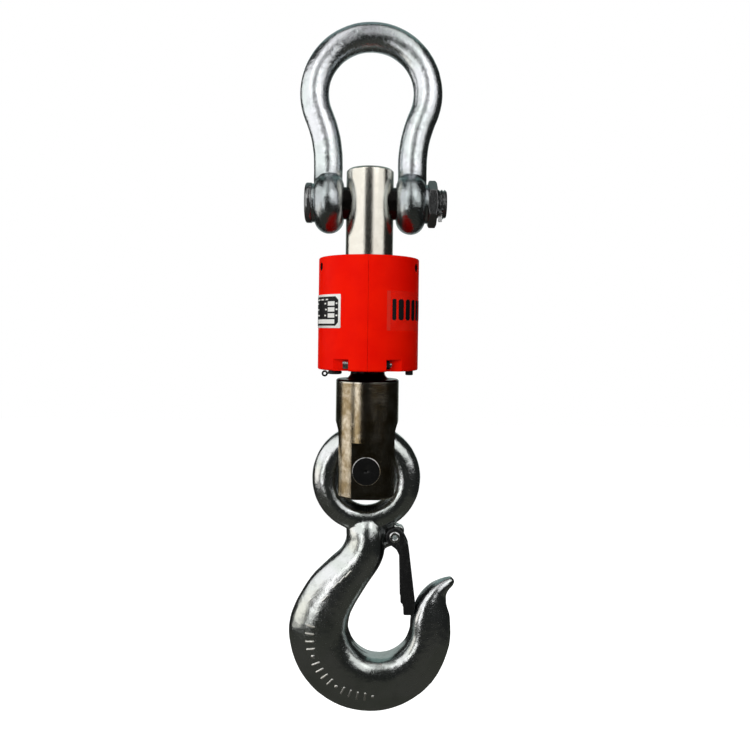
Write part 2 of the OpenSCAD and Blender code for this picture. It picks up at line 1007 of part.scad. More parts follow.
shackle_bow();
shackle_pin();
shackle_nut();
shackle_split_pin();
load_spindle();
strain_gauges();
gauge_cover();
gauge_wires();
housing_left();
housing_right();
shell_join_screws();
shell_join_nuts();
shell_fixing_screws();
top_seal();
bottom_seal();
nameplate();
capacity_label();
board_bracket();
bracket_screws();
main_board();
board_components();
board_spacers();
board_screws();
radio_module();
radio_antenna();
battery_cells();
battery_holders();
battery_wires();
charging_socket();
charging_socket_nut();
charging_cap();
switch_body();
power_button();
hook_pin();
hook_pin_screw();
hook();
latch_rivet();
latch();
latch_spring();
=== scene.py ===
"""Looks of the crane scale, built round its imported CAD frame. Lengths in the helpers are millimetres."""

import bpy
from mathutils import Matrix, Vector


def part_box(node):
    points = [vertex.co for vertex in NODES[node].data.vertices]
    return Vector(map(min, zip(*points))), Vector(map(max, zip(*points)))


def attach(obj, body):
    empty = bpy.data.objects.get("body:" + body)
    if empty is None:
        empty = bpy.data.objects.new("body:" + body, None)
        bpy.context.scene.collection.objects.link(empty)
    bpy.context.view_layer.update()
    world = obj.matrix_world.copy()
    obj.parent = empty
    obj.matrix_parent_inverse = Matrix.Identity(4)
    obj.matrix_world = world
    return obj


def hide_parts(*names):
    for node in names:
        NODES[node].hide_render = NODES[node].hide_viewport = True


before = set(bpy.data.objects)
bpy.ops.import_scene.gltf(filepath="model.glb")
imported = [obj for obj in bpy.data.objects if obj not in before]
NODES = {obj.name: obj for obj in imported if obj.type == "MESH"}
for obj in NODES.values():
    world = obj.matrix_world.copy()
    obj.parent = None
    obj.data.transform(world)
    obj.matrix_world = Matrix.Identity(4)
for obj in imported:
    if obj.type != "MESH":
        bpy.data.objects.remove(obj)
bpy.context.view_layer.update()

import math

import bmesh
import bpy
from mathutils import Matrix, Vector, noise
from mathutils.bvhtree import BVHTree

MM = 0.001
SCENE = bpy.context.scene


def box(node):
    """A CAD node's lowest and highest corners, in millimetres."""
    lo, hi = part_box(node)
    return lo / MM, hi / MM


def centre(node):
    """The middle of a CAD node's box, in millimetres."""
    lo, hi = box(node)
    return (lo + hi) / 2


def cos_sin(degrees):
    a = math.radians(degrees)
    return math.cos(a), math.sin(a)


PIN_Z = centre("shackle_pin").z
HOOK_PIN_Z = centre("hook_pin").z
FORK_BOT, SPINDLE_Z = (corner.z for corner in box("load_spindle"))
BOT_Z, TOP_Z = (corner.z for corner in box("housing_left"))
RIVET = centre("latch_rivet")
WALL_R = box("housing_left")[1].y

# -------- camera, light and stage

# The camera stands VIEW_D before the object's middle plane, of which it takes in a width of VIEW_W.
VIEW_D = 712.0
VIEW_W = 750.0
SENSOR = 36
EYE = (6.8, -VIEW_D, -279.75)
CAMERA_ROLL = 0.76  # degrees about the line of sight
CAMERA_SHIFT = -0.058  # share of the picture's width


def add_camera():
    data = bpy.data.cameras.new("camera")
    data.sensor_width = SENSOR
    data.lens = SENSOR * VIEW_D / VIEW_W
    data.shift_y = CAMERA_SHIFT
    cam = bpy.data.objects.new("camera", data)
    SCENE.collection.objects.link(cam)
    cam.matrix_world = (
        Matrix.Translation(Vector(EYE) * MM)
        @ Matrix.Rotation(math.radians(90), 4, "X")
        @ Matrix.Rotation(math.radians(CAMERA_ROLL), 4, "Z")
    )
    SCENE.camera = cam


def softbox(name, place, target, size, radiance, tint=(1, 1, 1), seen=True):
    """An area light of even radiance that faces its target, in metres. An unseen one has no reflection."""
    data = bpy.data.lights.new(name, "AREA")
    data.shape = "RECTANGLE"
    data.size, data.size_y = size
    data.energy = radiance * math.pi * size[0] * size[1]
    data.color = tint
    lamp = bpy.data.objects.new(name, data)
    SCENE.collection.objects.link(lamp)
    lamp.location = place
    lamp.rotation_mode = "QUATERNION"
    lamp.rotation_quaternion = (Vector(target) - Vector(place)).to_track_quat("-Z", "Y")
    lamp.visible_camera = False
    lamp.visible_glossy = seen


def around(azimuth, distance, z):
    """A place round the object, in metres. Azimuth 0 is in front and 90 at the right."""
    c, s = cos_sin(azimuth)
    return (distance * s, -distance * c, z)


def add_lights():
    """Two bright walls, two roofs, a low run at the left, dim light below and behind, and unseen fills."""
    white, olive, teal = (1, 0.99, 0.965), (1, 0.98, 0.78), (0.72, 1, 0.95)
    low = -0.54
    # Each has its place, the point that it faces, its width and height, its radiance and its tint.
    softbox("left_wall", around(-71, 1.15, 0.26), (0, 0, 0.26), (2.46, 1.2), 1.2, white)
    softbox("right_wall", around(43.5, 1.3, 0.3), (0, 0, 0.3), (1.4, 1.16), 1.05, white)
    for name, x, width, radiance in (("left_roof", -0.37, 0.5, 1.0), ("right_roof", 0.41, 0.68, 0.88)):
        softbox(name, (x, -0.6, 0.675), (x, 0.45, -0.025), (width, 1.26), radiance, white)
    softbox("left_low_side", around(-80, 1.2, low), (0, 0, low), (0.92, 0.42), 1.3, (1, 0.95, 0.87))
    softbox("left_low_front", around(-36, 1.2, low), (0, 0, low), (0.38, 0.42), 1.75, (1, 0.98, 0.95))
    softbox("left_low_fade", around(-70, 1.2, -0.79), (0, 0, -0.79), (1.4, 0.08), 0.3, white)
    softbox("left_low_end", around(-70, 1.2, -0.87), (0, 0, -0.87), (1.4, 0.08), 0.12, white)
    softbox("ground", (0, -0.3, -1.1), (0, -0.3, 1), (2.4, 2.4), 0.03, olive)
    softbox("back_top", (0, 0.85, 1.1), (0, 0, -0.4), (1.7, 1.6), 0.26, teal)
    softbox("back", around(180, 1.6, 0), (0, 0, 0), (1.7, 1.7), 0.42, (0.88, 1, 0.96))
    softbox("back_fill", around(165, 2.2, 0.2), (0, 0, -0.3), (1.4, 1.4), 1.0, seen=False)
    softbox("fill", around(-12, 1.9, 0.2), (0, 0, -0.3), (1.6, 1.6), 1.6, seen=False)

    world = bpy.data.worlds.new("studio")
    SCENE.world = world
    world.use_nodes = True
    tree = world.node_tree
    room = tree.nodes["Background"]
    room.inputs["Color"].default_value = (0.014, 0.015, 0.014, 1)
    paper = tree.nodes.new("ShaderNodeBackground")
    paper.inputs["Color"].default_value = (1, 1, 1, 1)
    seen = tree.nodes.new("ShaderNodeLightPath")
    mix = tree.nodes.new("ShaderNodeMixShader")
    tree.links.new(seen.outputs["Is Camera Ray"], mix.inputs["Fac"])
    tree.links.new(room.outputs["Background"], mix.inputs[1])
    tree.links.new(paper.outputs["Background"], mix.inputs[2])
    tree.links.new(mix.outputs["Shader"], tree.nodes["World Output"].inputs["Surface"])
    SCENE.view_settings.view_transform = "Standard"


def add_floor():
    """A wide sheet of bright paper below the object, which shows in no reflection and lights nothing."""
    mesh = bpy.data.meshes.new("floor")
    s, z = 6.0, -1.15
    mesh.from_pydata([(-s, -s, z), (s, -s, z), (s, s, z), (-s, s, z)], [], [(0, 1, 2, 3)])
    floor = bpy.data.objects.new("floor", mesh)
    SCENE.collection.objects.link(floor)
    white = (1, 1, 1, 1)
    paper = Shader("floor_paper", Base_Color=(0.86, 0.86, 0.86, 1), Roughness=0.9, Emission_Color=white)
    paper.skin.inputs["Emission Strength"].default_value = 1.0
    mesh.materials.append(paper.mat)
    floor.visible_glossy = False
    floor.visible_diffuse = False


# -------- materials


class Shader:
    """A Principled material and short calls for its nodes. Values are numbers, colours or nodes' outputs."""

    def __init__(self, name, **fixed):
        self.mat = bpy.data.materials.new(name)
        self.mat.use_nodes = True
        self.tree = self.mat.node_tree
        self.skin = self.tree.nodes["Principled BSDF"]
        self.at = self.node("ShaderNodeTexCoord").outputs["Object"]
        for socket, value in fixed.items():
            self.skin.inputs[socket.replace("_", " ")].default_value = value

    def link(self, value, socket):
        if hasattr(value, "links"):
            self.tree.links.new(value, socket)
        else:
            socket.default_value = value

    def node(self, kind, values=(), **settings):
        """A new node with these settings, and with these values in its sockets."""
        made = self.tree.nodes.new(kind)
        for key, value in settings.items():
            setattr(made, key, value)
        for socket, value in dict(values).items():
            self.link(value, made.inputs[socket])
        return made

    def noise(self, size, detail=3.0, rough=0.5, at=None, distort=0.0):
        """Noise whose features are about `size` millimetres."""
        values = {"Vector": at or self.at, "Scale": 1 / (size * MM), "Detail": detail, "Roughness": rough}
        return self.node("ShaderNodeTexNoise", {**values, "Distortion": distort}).outputs["Fac"]

    def stretched(self, factors):
        """The coordinates, scaled apart along X, Y and Z."""
        return self.node("ShaderNodeVectorMath", {0: self.at, 1: factors}, operation="MULTIPLY").outputs[0]

    def axis(self, name):
        """One coordinate, in metres."""
        return self.node("ShaderNodeSeparateXYZ", {0: self.at}).outputs[name]

    def cells(self, size):
        """Distance from the middles of cells about `size` millimetres wide."""
        made = self.node("ShaderNodeTexVoronoi", {"Vector": self.at, "Scale": 1 / (size * MM)})
        return made.outputs["Distance"]

    def span(self, value, lo, hi, a=0.0, b=1.0, smooth=False):
        """The value, carried from lo..hi to a..b and held there."""
        values = {"Value": value, "From Min": lo, "From Max": hi, "To Min": a, "To Max": b}
        way = "SMOOTHSTEP" if smooth else "LINEAR"
        return self.node("ShaderNodeMapRange", values, interpolation_type=way).outputs["Result"]

    def calc(self, operation, a, b):
        return self.node("ShaderNodeMath", {0: a, 1: b}, operation=operation).outputs[0]

    def plus(self, a, b):
        return self.calc("ADD", a, b)

    def times(self, a, b):
        return self.calc("MULTIPLY", a, b)

    def window(self, value, lo, hi, edge):
        """1 from lo to hi, fading to 0 over `edge` on both sides."""
        return self.times(self.span(value, lo - edge, lo), self.span(value, hi, hi + edge, 1.0, 0.0))

    def mix(self, share, a, b):
        """A colour between a and b."""
        a, b = ((*v, 1) if isinstance(v, tuple) else v for v in (a, b))
        made = self.node("ShaderNodeMix", {"Factor": share, "A": a, "B": b}, data_type="RGBA")
        return made.outputs["Result"]

    def bump(self, height, depth, normal=None):
        """A bump of `depth` millimetres, on top of an earlier one if that is given."""
        values = {"Strength": 1.0, "Distance": depth * MM, "Height": height}
        if normal is not None:
            values["Normal"] = normal
        return self.node("ShaderNodeBump", values).outputs["Normal"]

    def done(self, colour, rough, normal):
        """Feeds the surface and returns the material."""
        for socket, value in (("Base Color", colour), ("Roughness", rough), ("Normal", normal)):
            self.link(value, self.skin.inputs[socket])
        return self.mat


def zinc(name, cool, warm, dull, rough, pebble, ears=None):
    """Bright zinc plate on a forging: faint colour drifts, a fine pebbled skin and dull specks. Below the
    height
    `ears` it is darker, with painted shade tinted teal."""
    s = Shader(name, Metallic=1.0)
    drift = s.span(s.noise(34, 2, 0.5, distort=0.6), 0.36, 0.64, smooth=True)
    specks = s.span(s.noise(1.1, 4, 0.65), 0.56, 0.7)
    stain = s.span(s.noise(9, 4, 0.6), 0.52, 0.74)
    tone = s.mix(drift, cool, warm)
    tone = s.mix(s.plus(s.times(specks, 0.32), s.times(stain, 0.3)), tone, dull)
    if ears is not None:
        # Painted shade on the bow's ears: below `ears` the tone goes halfway to a dark teal.
        low = s.span(s.axis("Z"), ears, ears + 12 * MM, 1.0, 0.0, smooth=True)
        tone = s.mix(s.times(low, 0.5), tone, (0.16, 0.19, 0.205))
    gloss = s.plus(s.span(s.noise(4.5, 4, 0.6), 0.3, 0.75, rough, rough + 0.07), s.times(specks, 0.1))
    skin = s.bump(s.noise(5.5, 2, 0.5), pebble)
    skin = s.bump(s.noise(1.5, 3, 0.6), pebble, normal=skin)
    skin = s.bump(s.noise(0.7, 2, 0.6), pebble * 0.4, normal=skin)
    return s.done(tone, gloss, skin)


def turned(name, light, dark, rough, axis="Z", metallic=1.0, band=None, grain=0.6, depth=0.012):
    """A machined, plated surface: fine turning lines about an axis, light stains and a grainy sheen. A band
    is its lowest and highest z, its colour and the colour below it."""
    s = Shader(name, Metallic=metallic)
    squeeze = {"X": (1, 0.02, 0.02), "Y": (0.02, 1, 0.02), "Z": (0.02, 0.02, 1)}[axis]
    lines = s.noise(0.42, 3, 0.7, at=s.stretched(squeeze))
    stain = s.span(s.noise(13, 4, 0.6), 0.4, 0.68)
    specks = s.span(s.noise(grain, 3, 0.7), 0.5, 0.72)
    tone = s.mix(s.plus(s.times(stain, 0.22), s.times(specks, 0.3)), light, dark)
    gloss = s.plus(s.span(lines, 0.25, 0.75, rough - 0.04, rough + 0.06), s.times(specks, 0.1))
    skin = s.bump(lines, 0.012)
    skin = s.bump(s.noise(grain, 3, 0.6), depth, normal=skin)
    if band is not None:
        lo, hi, colour, warm = band
        z = s.axis("Z")
        # Below the band the tone turns darker and warmer: painted shade and a painted gold reflection.
        tone = s.mix(s.span(z, lo * MM, (lo - 2) * MM), tone, s.mix(stain, warm, dark))
        inside = s.window(z, lo * MM, hi * MM, 0.4 * MM)
        tone = s.mix(inside, tone, colour)
    return s.done(tone, gloss, skin)


def blacked(name, base, edge, rough, metallic=0.85, scale=1.0, painted_shade_reach=None):
    """Blackened steel, rubbed lighter in patches and finely scratched, with painted shade near x = 0."""
    s = Shader(name, Metallic=metallic)
    rub = s.span(s.noise(5.5 * scale, 5, 0.65), 0.54, 0.78)
    scratch = s.span(s.noise(1.3 * scale, 2, 0.6, at=s.stretched((1.0, 0.35, 0.12))), 0.6, 0.72)
    tone = s.mix(s.plus(s.times(rub, 0.45), s.times(scratch, 0.28)), base, edge)
    # Painted shade: a darker run along the pin's middle, round the spindle and in the gaps beside it.
    if painted_shade_reach is not None:
        run = s.window(s.axis("X"), -painted_shade_reach, painted_shade_reach, 0.3 * MM)
        tone = s.mix(run, tone, s.mix(rub, (0.02, 0.019, 0.017), (0.045, 0.042, 0.037)))
    gloss = s.span(s.noise(2.6 * scale, 4, 0.6), 0.3, 0.72, rough - 0.06, rough + 0.06)
    return s.done(tone, gloss, s.bump(s.noise(0.7, 4, 0.6), 0.02))


def enamel():
    """The housing's smooth red coat: painted shade on its top face, slight orange peel, mottling and dust."""
    s = Shader("red_enamel", Specular_IOR_Level=0.03)
    mottle = s.span(s.noise(26, 3, 0.55), 0.35, 0.68, smooth=True)
    tone = s.mix(mottle, (1.0, 0.008, 0.0), (0.94, 0.005, 0.0))
    dust = s.span(s.noise(0.9, 4, 0.7), 0.66, 0.78)
    tone = s.mix(s.times(dust, 0.12), tone, (0.9, 0.12, 0.05))
    # Painted shade: the top face is darkened, as if shadowed by the bow.
    top = s.span(s.axis("Z"), (TOP_Z - 0.6) * MM, (TOP_Z - 0.1) * MM)
    tone = s.mix(s.times(top, 0.6), tone, (0.12, 0.001, 0.001))
    gloss = s.span(s.noise(11, 4, 0.6), 0.3, 0.7, 0.36, 0.48)
    skin = s.bump(s.noise(2.4, 2, 0.5), 0.028)
    skin = s.bump(s.noise(0.55, 2, 0.5), 0.006, normal=skin)
    return s.done(tone, gloss, skin)


def moulded(name, base, rough=0.5, shine=0.4, grain=0.5, depth=0.02):
    """Moulded plastic or rubber, with a fine grain and an uneven tone."""
    s = Shader(name, Specular_IOR_Level=shine)
    worn = tuple(min(1.0, c * 1.35 + 0.012) for c in base)
    tone = s.mix(s.span(s.noise(6, 4, 0.6), 0.4, 0.7), base, worn)
    gloss = s.span(s.noise(2.2, 3, 0.6), 0.3, 0.7, rough - 0.07, rough + 0.08)
    return s.done(tone, gloss, s.bump(s.noise(grain, 3, 0.6), depth))


def board():
    """Solder mask with faint copper tracks under it."""
    s = Shader("solder_mask", Specular_IOR_Level=0.5, Coat_Weight=0.4, Coat_Roughness=0.15)
    track = s.span(s.cells(3.2), 0.42, 0.5)
    tone = s.mix(s.times(track, 0.5), (0.008, 0.085, 0.03), (0.02, 0.19, 0.07))
    return s.done(tone, s.span(s.noise(3), 0.3, 0.7, 0.28, 0.4), s.bump(track, 0.03))


def film():
    """The label's clear film: nearly nothing but a soft shine, with faint waves."""
    s = Shader("clear_film", Alpha=0.03, Specular_IOR_Level=0.1)
    tone = s.mix(s.span(s.noise(8, 3), 0.4, 0.7), (0.8, 0.1, 0.06), (0.9, 0.2, 0.14))
    return s.done(tone, s.span(s.noise(3), 0.3, 0.7, 0.12, 0.22), s.bump(s.noise(5, 2), 0.03))


def printed(name, base, rough=0.45):
    """Printed ink or enamel on a plate: slightly uneven cover with pinholes."""
    s = Shader(name, Specular_IOR_Level=0.15)
    thin = tuple(min(1.0, c * 0.85 + 0.012) for c in base)
    tone = s.mix(s.span(s.noise(1.6, 5, 0.7), 0.5, 0.75), base, thin)
    gloss = s.span(s.noise(2.4), 0.3, 0.7, rough - 0.05, rough + 0.07)
    return s.done(tone, gloss, s.bump(s.noise(0.4), 0.008))


def make_materials():
    """Every material, by the name that the build functions use."""
    # Near black on the neck; below it the fork gets painted shade and a painted gold reflection.
    groove = (BOT_Z - 11.2, BOT_Z + 3, (0.006, 0.006, 0.006), (0.26, 0.2, 0.115))
    # Below this height the bow's zinc gets painted shade, tinted teal.
    ears = (PIN_Z + 24) * MM
    return {
        "bow": zinc("zinc_bow", (0.76, 0.78, 0.83), (0.70, 0.76, 0.77), (0.36, 0.38, 0.41), 0.18, 0.17, ears),
        "hook": zinc("zinc_hook", (0.74, 0.76, 0.785), (0.64, 0.68, 0.67), (0.32, 0.34, 0.34), 0.155, 0.12),
        "marks": zinc("worn_zinc", (0.78, 0.79, 0.78), (0.8, 0.79, 0.74), (0.55, 0.56, 0.56), 0.36, 0.12),
        "spindle": turned(
            "nickel_spindle", (0.80, 0.775, 0.71), (0.58, 0.53, 0.44), 0.15,
            band=groove, grain=1.1, depth=0.09,
        ),
        # The bolt's middle, within 30 mm of x = 0, gets painted shade.
        "bolt": blacked("black_bolt", (0.2, 0.205, 0.21), (0.42, 0.42, 0.42), 0.16, painted_shade_reach=30 * MM),
        "hook_pin": blacked("black_hook_pin", (0.05, 0.051, 0.052), (0.14, 0.14, 0.13), 0.16),
        "latch": blacked("black_latch", (0.05, 0.051, 0.053), (0.2, 0.2, 0.2), 0.3, 0.8, 0.6),
        "cotter": turned("zinc_cotter", (0.6, 0.61, 0.62), (0.35, 0.36, 0.37), 0.26, grain=0.5),
        "rivet": turned("zinc_rivet", (0.72, 0.73, 0.74), (0.45, 0.46, 0.47), 0.2, axis="Y", grain=0.5),
        "spring": turned("spring_wire", (0.5, 0.5, 0.5), (0.2, 0.2, 0.2), 0.25, grain=0.4),
        "screw": turned("plated_screw", (0.78, 0.79, 0.8), (0.5, 0.5, 0.5), 0.2, axis="X", grain=0.5),
        "red": enamel(),
        "black_plastic": moulded("black_plastic", (0.012, 0.012, 0.013), 0.42),
        "rubber": moulded("black_rubber", (0.010, 0.010, 0.011), 0.55, 0.32, 0.7, 0.03),
        "plate": turned("plate_white", (0.86, 0.87, 0.85), (0.7, 0.71, 0.7), 0.34, metallic=0.15, grain=0.8),
        "ink": printed("black_ink", (0.006, 0.006, 0.007)),
        "ink_white": printed("white_ink", (0.86, 0.86, 0.84)),
        "film": film(),
        "film_edge": printed("film_edge", (0.84, 0.022, 0.008), 0.4),
        "foil": moulded("gauge_foil", (0.62, 0.33, 0.06), 0.35, 0.5),
        "wire": moulded("wire_insulation", (0.5, 0.02, 0.015), 0.45),
        "board": board(),
        "aluminium": turned("bracket_aluminium", (0.78, 0.79, 0.8), (0.6, 0.6, 0.62), 0.32, grain=0.9),
        "brass": turned("brass", (0.8, 0.6, 0.26), (0.5, 0.36, 0.14), 0.25, axis="Y", grain=0.5),
        "can": turned("radio_can", (0.75, 0.75, 0.77), (0.55, 0.55, 0.56), 0.3, grain=0.7),
        "cell": moulded("cell_sleeve", (0.02, 0.09, 0.4), 0.3, 0.5),
    }


# -------- mesh helpers


def new_object(name, verts, faces):
    """A mesh from points in millimetres, with its faces turned outward."""
    mesh = bpy.data.meshes.new(name)
    mesh.from_pydata([(x * MM, y * MM, z * MM) for x, y, z in verts], [], faces)
    bm = bmesh.new()
    bm.from_mesh(mesh)
    bmesh.ops.remove_doubles(bm, verts=bm.verts, dist=1e-6)
    bmesh.ops.dissolve_degenerate(bm, edges=bm.edges, dist=1e-7)
    bmesh.ops.recalc_face_normals(bm, faces=bm.faces)
    bm.to_mesh(mesh)
    bm.free()
    obj = bpy.data.objects.new(name, mesh)
    SCENE.collection.objects.link(obj)
    return obj


def loft(name, rings, loop=False):
    """Skins rings with equally many points. The ends are closed, or meet each other if loop is set."""
    n, m = len(rings[0]), len(rings)
    verts = [p for ring in rings for p in ring]
    faces = []
    for i in range(m if loop else m - 1):
        a, b = i * n, (i + 1) % m * n
        for j in range(n):
            k = (j + 1) % n
            faces.append((a + j, a + k, b + k, b + j))
    if not loop:
        faces.append(tuple(range(n)))
        faces.append(tuple(range((m - 1) * n, m * n)))
    return new_object(name, verts, faces)


AXES = {
    "X": lambda r, a, h: (h, r * math.cos(a), r * math.sin(a)),
    "Y": lambda r, a, h: (r * math.cos(a), h, r * math.sin(a)),
    "Z": lambda r, a, h: (r * math.cos(a), r * math.sin(a), h),
}


def lathe(name, profile, axis="Z", origin=(0, 0, 0), steps=96, loop=False):
    """Turns a profile of (radius, height) about an axis through origin. loop closes the profile on itself."""
    at = AXES[axis]
    rings = []
    for r, h in profile:
        ring = [at(r, 2 * math.pi * j / steps, h) for j in range(steps)]
        rings.append([tuple(p[k] + origin[k] for k in range(3)) for p in ring])
    return loft(name, rings, loop)


def drill(radius, half, axis, origin, steps=96):
    """A plain rod to cut a bore with, `half` millimetres long each way from its origin."""
    return lathe("drill", [(0, -half), (radius, -half), (radius, half), (0, half)], axis, origin, steps)


def prism(name, outline, across, x=0.0, z=0.0):
    """A body with one (x, z) outline, moved by x and z, at each y in across."""
    return loft(name, [[(x + a, y, z + b) for a, b in outline] for y in across])


def hoop(name, middle, radius, wire, steps, sides, inner=lambda angle: 1.0):
    """A ring of wire in the XZ plane. inner(angle) scales the wire's side that faces the middle."""
    rings = []
    for i in range(steps):
        a = 2 * math.pi * i / steps
        out = Vector((math.cos(a), 0, math.sin(a)))
        mid = Vector(middle) + out * radius
        thin = wire * inner(a)
        ring = []
        for j in range(sides):
            c, s = math.cos(2 * math.pi * j / sides), math.sin(2 * math.pi * j / sides)
            ring.append(tuple(mid + out * (thin if c < 0 else wire) * c + Vector((0, wire * s, 0))))
        rings.append(ring)
    return loft(name, rings, loop=True)


def soften(points, radius, n=3, loop=False):
    """Rounds the corners of an outline. radius is one number, or one for each point."""
    out, m = [], len(points)
    for i, p in enumerate(points):
        r = radius[i] if isinstance(radius, (list, tuple)) else radius
        if r <= 0 or (not loop and i in (0, m - 1)):
            out.append(tuple(p))
            continue
        p = Vector(p)
        a, b = Vector(points[i - 1]) - p, Vector(points[(i + 1) % m]) - p
        d = min(r, 0.45 * a.length, 0.45 * b.length)
        a, b = p + a.normalized() * d, p + b.normalized() * d
        for k in range(n + 1):
            t = k / n
            out.append(tuple(a * (1 - t) ** 2 + p * 2 * t * (1 - t) + b * t * t))
    return out


def bake(obj):
    """Applies the object's modifiers."""
    graph = bpy.context.evaluated_depsgraph_get()
    mesh = bpy.data.meshes.new_from_object(obj.evaluated_get(graph))
    obj.modifiers.clear()
    old, obj.data = obj.data, mesh
    bpy.data.meshes.remove(old)
    return obj


def discard(obj):
    mesh = obj.data
    bpy.data.objects.remove(obj)
    bpy.data.meshes.remove(mesh)


def combine(obj, others, operation="DIFFERENCE"):
    """Boolean of obj with each of the others, which are used up."""
    for other in others:
        mod = obj.modifiers.new("combine", "BOOLEAN")
        mod.operation = operation
        mod.solver = "EXACT"
        mod.object = other
        bake(obj)
        discard(other)
    return obj


def join(obj, others):
    """Adds the other meshes to obj as they are."""
    bm = bmesh.new()
    bm.from_mesh(obj.data)
    for other in others:
        bm.from_mesh(other.data)
        discard(other)
    bm.to_mesh(obj.data)
    bm.free()
    return obj


def gather(name, parts):
    """Joins parts into one named object."""
    whole = join(parts[0], parts[1:])
    whole.name = name
    return whole


def bevel(obj, width, segments=2, angle=30):
    """Rounds the edges that turn by more than `angle` degrees."""
    mod = obj.modifiers.new("bevel", "BEVEL")
    mod.width = width * MM
    mod.segments = segments
    mod.limit_method = "ANGLE"
    mod.angle_limit = math.radians(angle)
    return bake(obj)


def remesh(obj, voxel, rounds):
    """Fuses overlapping shells on a fine grid and softens where they meet."""
    mod = obj.modifiers.new("fuse", "REMESH")
    mod.mode = "VOXEL"
    mod.voxel_size = voxel * MM
    mod.use_smooth_shade = True
    mod = obj.modifiers.new("soften", "SMOOTH")
    mod.factor = 0.5
    mod.iterations = rounds
    return bake(obj)


def weigh(obj):
    """Lets the large faces rule the shading, so that a bevel does not tint the face beside it."""
    mod = obj.modifiers.new("weigh", "WEIGHTED_NORMAL")
    mod.keep_sharp = True
    return bake(obj)


def push(obj, height):
    """Moves each point along its normal by height(point, normal), in millimetres."""
    mesh = obj.data
    normals = [v.normal.copy() for v in mesh.vertices]
    for v, n in zip(mesh.vertices, normals):
        v.co += n * height(v.co / MM, n) * MM
    mesh.update()
    return obj


def shade(obj, angle=35):
    """Smooth shading that keeps edges over `angle` degrees sharp. 0 keeps none."""
    mesh = obj.data
    mesh.polygons.foreach_set("use_smooth", [True] * len(mesh.polygons))
    if angle:
        mesh.set_sharp_from_angle(angle=math.radians(angle))
    return obj


def piece(obj, body, slot, mat, *nodes):
    """Makes obj a finished piece: its material, body and the CAD nodes it stands for. The slot is not used.
    """
    obj.data.materials.clear()
    obj.data.materials.append(mat)
    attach(obj, body)
    if nodes:
        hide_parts(*nodes)
    return obj


def tube(name, path, radius, sides):
    """A round wire along points."""
    path = [Vector(p) for p in path]
    n = len(path)
    tangents = [(path[min(i + 1, n - 1)] - path[max(i - 1, 0)]).normalized() for i in range(n)]
    side = tangents[0].orthogonal().normalized()
    rings = []
    for i in range(n):
        if i:
            side = (side - tangents[i] * side.dot(tangents[i])).normalized()
        up = tangents[i].cross(side)
        ring = []
        for j in range(sides):
            a = 2 * math.pi * j / sides
            ring.append(tuple(path[i] + side * radius * math.cos(a) + up * radius * math.sin(a)))
        rings.append(ring)
    return loft(name, rings)


def arc(cx, cy, r, a0, a1, n):
    """Points on a circle from a0 to a1 degrees."""
    ways = [cos_sin(a0 + (a1 - a0) * i / n) for i in range(n + 1)]
    return [(cx + r * c, cy + r * s) for c, s in ways]


def spline(points, steps):
    """A smooth curve through rows of numbers."""
    n, out = len(points), []
    for i in range(n - 1):
        a, b, c, d = points[max(i - 1, 0)], points[i], points[i + 1], points[min(i + 2, n - 1)]
        for k in range(steps):
            t = k / steps
            row = []
            for p, q, r, s in zip(a, b, c, d):
                square, cube = 2 * p - 5 * q + 4 * r - s, 3 * q - p - 3 * r + s
                row.append(0.5 * (2 * q + (r - p) * t + square * t * t + cube * t ** 3))
            out.append(row)
    out.append(list(points[-1]))
    return out


def forged(point, wave, depth, seed):
    """The slow unevenness that a forging keeps: waves about `wave` long and `depth` high, in millimetres."""
    at = Vector(point) / wave + Vector((seed, seed * 2.3, -seed))
    return depth * noise.noise(at) + depth * 0.45 * noise.noise(at * 2.7)


# -------- shackle

ROD_R = 14.35
BOW_R = 56.7  # the crown's centre line
BOW_FLARE = 23.4  # degrees that the crown's arc runs past a half turn, at each end
LEG_X = 42.0
EAR_X = 40.65
EAR_R = 30.5
EAR_HALF = 14.85
BOSS_X = 57.7  # the outer faces of the ears' bosses
SHANK_R = 16.0  # the shackle pin
THREAD_R = 14.65
NUT_T = 8.6
PIN_END = box("shackle_pin")[1].x


def bow_half():
    """The right half of the bow's centre line: crown arc, flare, then a straight leg into the ear."""
    c, s = cos_sin(BOW_FLARE)
    bend = (BOW_R * c - LEG_X) / (1 - c)
    z = ROD_R - BOW_R
    turn = ((BOW_R + bend) * c, z - (BOW_R + bend) * s)
    half = arc(0, z, BOW_R, 90, -BOW_FLARE, 44)
    half += arc(*turn, bend, 180 - BOW_FLARE, 180, 18)[1:]
    last = half[-1]
    half += [(LEG_X, last[1] + (PIN_Z + 8 - last[1]) * i / 5) for i in range(1, 6)]
    return half


